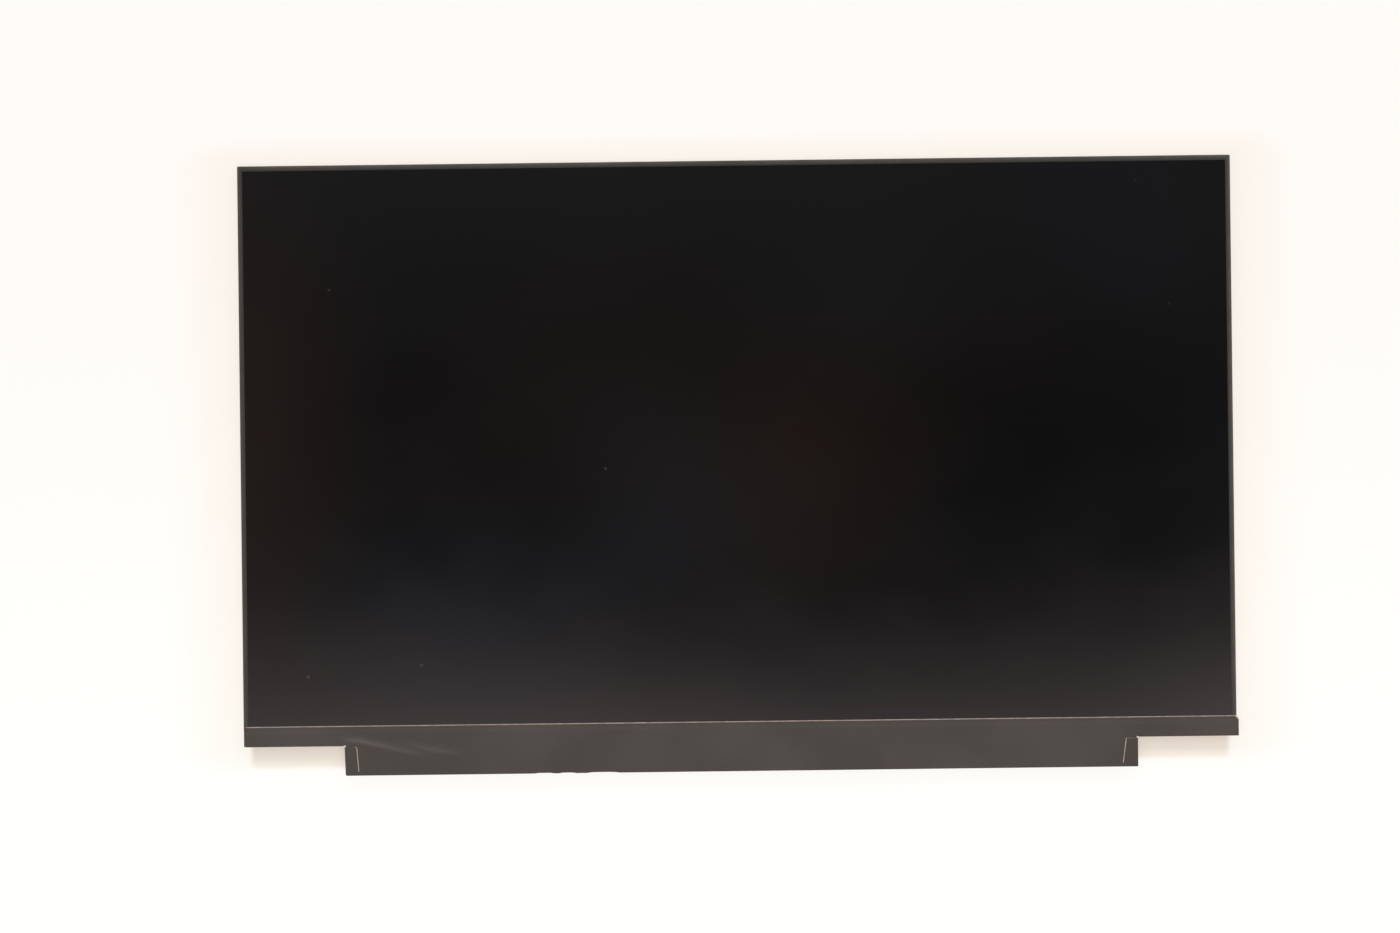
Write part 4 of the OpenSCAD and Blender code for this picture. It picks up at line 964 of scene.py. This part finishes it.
def makeSetTree():  # a shape at every point, turned and scaled by the point's own values
    tree, inputs = startTree("set_shapes", {"Shape": "Object", "Finish": "Material"})
    turn, size = [storedValue(tree, name, "FLOAT_VECTOR") for name in ("turn", "size")]
    points = outOf(tree, "GeometryNodeMeshToPoints", {"Mesh": inputs["Geometry"]})
    placed = outOf(tree, "GeometryNodeInstanceOnPoints", {"Points": points,
        "Instance": meshOf(tree, inputs["Shape"]), "Rotation": turn, "Scale": size})
    endTree(tree, placed, inputs["Finish"])
    return tree


def makeViaTree():  # scattered on a sheet, clear of the parts in the way
    tree, inputs = startTree("scattered_vias", {"Shape": "Object", "Keep Off": "Object",
        "Clearance": 0.001, "Spacing": 0.002, "Seed": 0, "Finish": "Material"})
    spacing = inputs["Spacing"]
    density = calc(tree, "DIVIDE", 1.0, times(tree, spacing, spacing))
    density = times(tree, density, board["viaTries"])
    points = addNode(tree, "GeometryNodeDistributePointsOnFaces", {"Mesh": inputs["Geometry"],
        "Distance Min": spacing, "Density Max": density, "Seed": inputs["Seed"]},
        distribute_method="POISSON").outputs["Points"]
    reach = addNode(tree, "GeometryNodeProximity", {"Geometry": meshOf(tree, inputs["Keep Off"])},
        target_element="FACES").outputs["Distance"]
    clear = calc(tree, "GREATER_THAN", reach, inputs["Clearance"])
    placed = outOf(tree, "GeometryNodeInstanceOnPoints", {"Points": points,
        "Selection": clear, "Instance": meshOf(tree, inputs["Shape"])})
    endTree(tree, placed, inputs["Finish"])
    return tree


def makeTrackTree():  # flat lines side by side along a guide of loose edges
    tree, inputs = startTree("track_bundle", {"Count": 1, "Step": "Vector", "Width": 0.0001,
        "Height": 0.0001, "Bend": 0.0, "Finish": "Material"})
    curve = outOf(tree, "GeometryNodeMeshToCurve", {"Mesh": inputs["Geometry"]})
    curve = outOf(tree, "GeometryNodeFilletCurve", {"Curve": curve, "Count": 2,
        "Radius": inputs["Bend"], "Limit Radius": True}, mode="POLY")
    line = outOf(tree, "GeometryNodeMeshLine", {"Count": inputs["Count"],
        "Offset": inputs["Step"]}, mode="OFFSET")
    copies = outOf(tree, "GeometryNodeInstanceOnPoints", {"Points": line, "Instance": curve})
    copies = outOf(tree, "GeometryNodeRealizeInstances", {"Geometry": copies})
    copies = outOf(tree, "GeometryNodeSetCurveNormal", {"Curve": copies}, mode="Z_UP")
    section = outOf(tree, "GeometryNodeCurvePrimitiveQuadrilateral", {"Width": inputs["Width"],
        "Height": inputs["Height"]})
    solid = outOf(tree, "GeometryNodeCurveToMesh", {"Curve": copies, "Profile Curve": section,
        "Fill Caps": True})
    endTree(tree, solid, inputs["Finish"])
    return tree


def turnOutward(piece):
    made = bmesh.new()
    made.from_mesh(piece.data)
    bmesh.ops.recalc_face_normals(made, faces=made.faces)
    made.to_mesh(piece.data)
    made.free()


def inOrder(piece):  # a bevelled cube's triangles are listed in another order each run
    faces = []
    for face in piece.data.polygons:
        corners = list(face.vertices)
        first = corners.index(min(corners))
        faces.append(corners[first:] + corners[:first])
    points = [point.co[:] for point in piece.data.vertices]
    piece.data.clear_geometry()
    piece.data.from_pydata(points, [], sorted(faces))
    return piece


def terminalShape(bevel=0.07):  # one unit long, wide and high, below its point and inside it
    made = bmesh.new()
    bmesh.ops.create_cube(made, size=1.0)
    bmesh.ops.bevel(made, geom=made.edges, offset=bevel, segments=1, affect="EDGES")
    bmesh.ops.translate(made, verts=made.verts, vec=(-0.5, 0, -0.5))
    return inOrder(toObject(made, "terminal_shape"))


def solderShape():  # one unit out, wide and high
    made = bmesh.new()
    rings = []
    for place, height in board["solderSides"]:
        curve = [(out, place, down * height) for out, down in board["solderCurve"]]
        rings.append([made.verts.new(point) for point in curve])
    for first, second in zip(rings, rings[1:]):
        for number in range(len(first)):
            after = (number + 1) % len(first)
            made.faces.new((first[number], first[after], second[after], second[number]))
    for ring in (rings[0], rings[-1]):
        made.faces.new(ring)
    bmesh.ops.recalc_face_normals(made, faces=made.faces)
    return toObject(made, "solder_shape")


def discShape(name, radius, height, sides):  # flat disc just below its point
    made = bmesh.new()
    bmesh.ops.create_cone(made, cap_ends=True, segments=sides, radius1=radius, radius2=radius,
        depth=height)
    return toObject(made, name)


def pointSet(name, spots):  # spots: place in mm, turn in degrees, size in mm
    mesh = bpy.data.meshes.new(name)
    mesh.from_pydata([[value * mm for value in spot] for spot, angle, scale in spots], [], [])
    turns = mesh.attributes.new("turn", "FLOAT_VECTOR", "POINT")
    sizes = mesh.attributes.new("size", "FLOAT_VECTOR", "POINT")
    for number, (spot, angle, scale) in enumerate(spots):
        turns.data[number].vector = (0, 0, math.radians(angle))
        sizes.data[number].vector = [value * mm for value in scale]
    return newObject(name, mesh)


def endSpots():  # places of the tinned ends and of the solder beyond them
    look, face = board, board["face"]
    ends, solder = [], []
    for low, high in chipBoxes() + [boxOf("input_fuse")]:
        size = [high[axis] - low[axis] for axis in range(3)]
        longer = 0 if size[0] > size[1] else 1
        length, width, height = size[longer], size[1 - longer], face - low[2]
        for side in (-1, 1):
            spot = [(low[0] + high[0]) / 2, (low[1] + high[1]) / 2, face]
            spot[longer] += side * (length / 2 + look["endOut"])
            angle = 90 * longer + (180 if side < 0 else 0)
            ends.append((spot, angle, (length * look["endShare"] + look["endThick"],
                width + look["endWider"], height + look["endThick"])))
            solder.append((spot, angle, (look["solderOut"], width * look["solderWider"],
                height * look["solderRise"])))
    for nodeName, number, sides in look["leads"]:
        low, high = boxOf(nodeName)
        middle = Vector(((low[0] + high[0]) / 2, (low[1] + high[1]) / 2))
        half = [(high[axis] - low[axis]) / 2 for axis in (0, 1)]
        row = 2 * half[0] if sides == 2 else 2 * half[1] - 2 * look["leadOut"]
        pitch = (row - look["leadSpare"]) / (number - 1)
        for turn in ((-90, 90, 0, 180) if sides == 4 else (-90, 90)):
            out = Vector((round(math.cos(math.radians(turn))), round(math.sin(math.radians(turn)))))
            along = Vector((-out.y, out.x))
            start = middle + out * ((half[0] if out.x else half[1]) + look["leadStart"])
            for lead in range(number):
                spot = (*(start + along * (lead - (number - 1) / 2) * pitch), face)
                ends.append((spot, turn, look["leadEnd"]))
                solder.append((spot, turn, look["leadSolder"]))
    wider, lower = look["twoEndedSolder"]
    for nodeName, width, height in look["twoEnded"]:
        low, high = boxOf(nodeName)
        for x, turn in ((low[0], 180), (high[0], 0)):
            spot = (x, (low[1] + high[1]) / 2, face)
            ends.append((spot, turn, (look["twoEndedOut"], width, height)))
            solder.append((spot, turn, (look["solderOut"], width * wider, height * lower)))
    first, pitch, number, footEnd = look["feet"]
    for foot in range(number):
        spot = (first + foot * pitch, footEnd - look["footUnder"], face)
        solder.append((spot, 90, look["footSolder"]))
    return ends, solder


def makeSets():  # tinned ends, solder and pads
    tree = makeSetTree()
    ends, solder = endSpots()
    height = board["face"] - board["padSunk"]
    pads = [((first + number * pitch, across, height), 0, (1, 1, 1))
        for first, count, pitch, across in board["padRows"] for number in range(count)]
    for name, spots, shape, finish, slot in (
            ("tinned_ends", ends, terminalShape(), "tinned_end", "tinned_shell"),
            ("solder_joints", solder, solderShape(), "solder", "tinned_shell"),
            ("test_pads", pads, discShape("pad_shape", *board["pad"]), "gold_plate", "gold_plate")):
        piece = pointSet(name, spots)
        runTree(piece, tree, finish, {"Shape": shape})
        bpy.data.objects.remove(shape)
        if name == "solder_joints":
            smoothBelow(piece, board["solderSharp"])
        handOver(piece, slot)


def takenBoxes(low, high):  # left, bottom, right and top, in mm, of what the vias keep clear of
    boxes = chipBoxes() + [boxOf(part[0]) for part in board["printed"]]
    taken = [(*box[0][:2], *box[1][:2]) for box in boxes] + [board["tail"]]
    fromEnd, half, bottom, top = board["holes"]
    for x in (low[0] + fromEnd, high[0] - fromEnd):
        taken.append((x - half, bottom, x + half, top))
    clear = board["padClear"]
    for first, count, pitch, across in board["padRows"]:
        taken.append((first - clear, across - clear, first + (count - 1) * pitch + clear,
            across + clear))
    return taken


def makeVias():
    low, high = boxOf("circuit_board")
    height = board["face"] - board["viaSunk"]
    inX, inY = board["viaInset"]
    inner = (low[0] + inX, low[1] + inY, high[0] - inX, high[1] - inY)
    sheet = flatMesh("via_sheet", [inner], height)
    keepOff = newObject("keep_off", flatMesh("keep_off", takenBoxes(low, high), height))
    vias = newObject("board_vias", sheet)
    radius, thick, corners = board["via"]
    shape = discShape("via_shape", radius * mm, thick * mm, corners)
    runTree(vias, makeViaTree(), "covered_copper", {"Shape": shape, "Keep Off": keepOff,
        "Clearance": board["viaClear"] * mm, "Spacing": board["viaSpacing"] * mm,
        "Seed": board["viaSeed"]})
    handOver(vias, "board_laminate")
    for extra in (shape, keepOff):
        bpy.data.objects.remove(extra)


def joinPieces(name, pieces):
    made = bmesh.new()
    for piece in pieces:
        made.from_mesh(piece.data)
    finish = pieces[0].data.materials[0]
    for piece in pieces:
        bpy.data.objects.remove(piece)
    whole = toObject(made, name)
    whole.data.materials.append(finish)
    return whole


def makeLines(name, tree, finish, section, closed, bundles):  # bundles: number, step, bends
    width, thick, bend = section
    height = board["face"] - thick / 2 + board["lineSunk"]
    made = []
    for count, step, bends in bundles:
        made.append(guideLine(name, [(x, y, height) for x, y in bends], closed))
        runTree(made[-1], tree, finish, {"Count": count, "Width": width * mm,
            "Step": (step[0] * mm, step[1] * mm, 0.0), "Height": thick * mm, "Bend": bend * mm})
    whole = joinPieces(name, made)
    turnOutward(whole)
    handOver(whole, "board_laminate")


def printedOutline(nodeName, beyond):
    low, high = boxOf(nodeName)
    left, right, top = low[0] - beyond, high[0] + beyond, high[1] + beyond
    bottom = max(low[1] - beyond, boxOf("circuit_board")[0][1] + board["printInset"])
    return 1, (0.0, 0.0), [(left, bottom), (right, bottom), (right, top), (left, top)]


def makeBoardDetail():
    makeSets()
    makeVias()
    tree = makeTrackTree()
    makeLines("board_tracks", tree, "covered_copper", board["track"], False, board["tracks"])
    makeLines("board_print", tree, "white_print", board["print"], True,
        [printedOutline(*part) for part in board["printed"]])


makeBoardDetail()
print("board detail made")
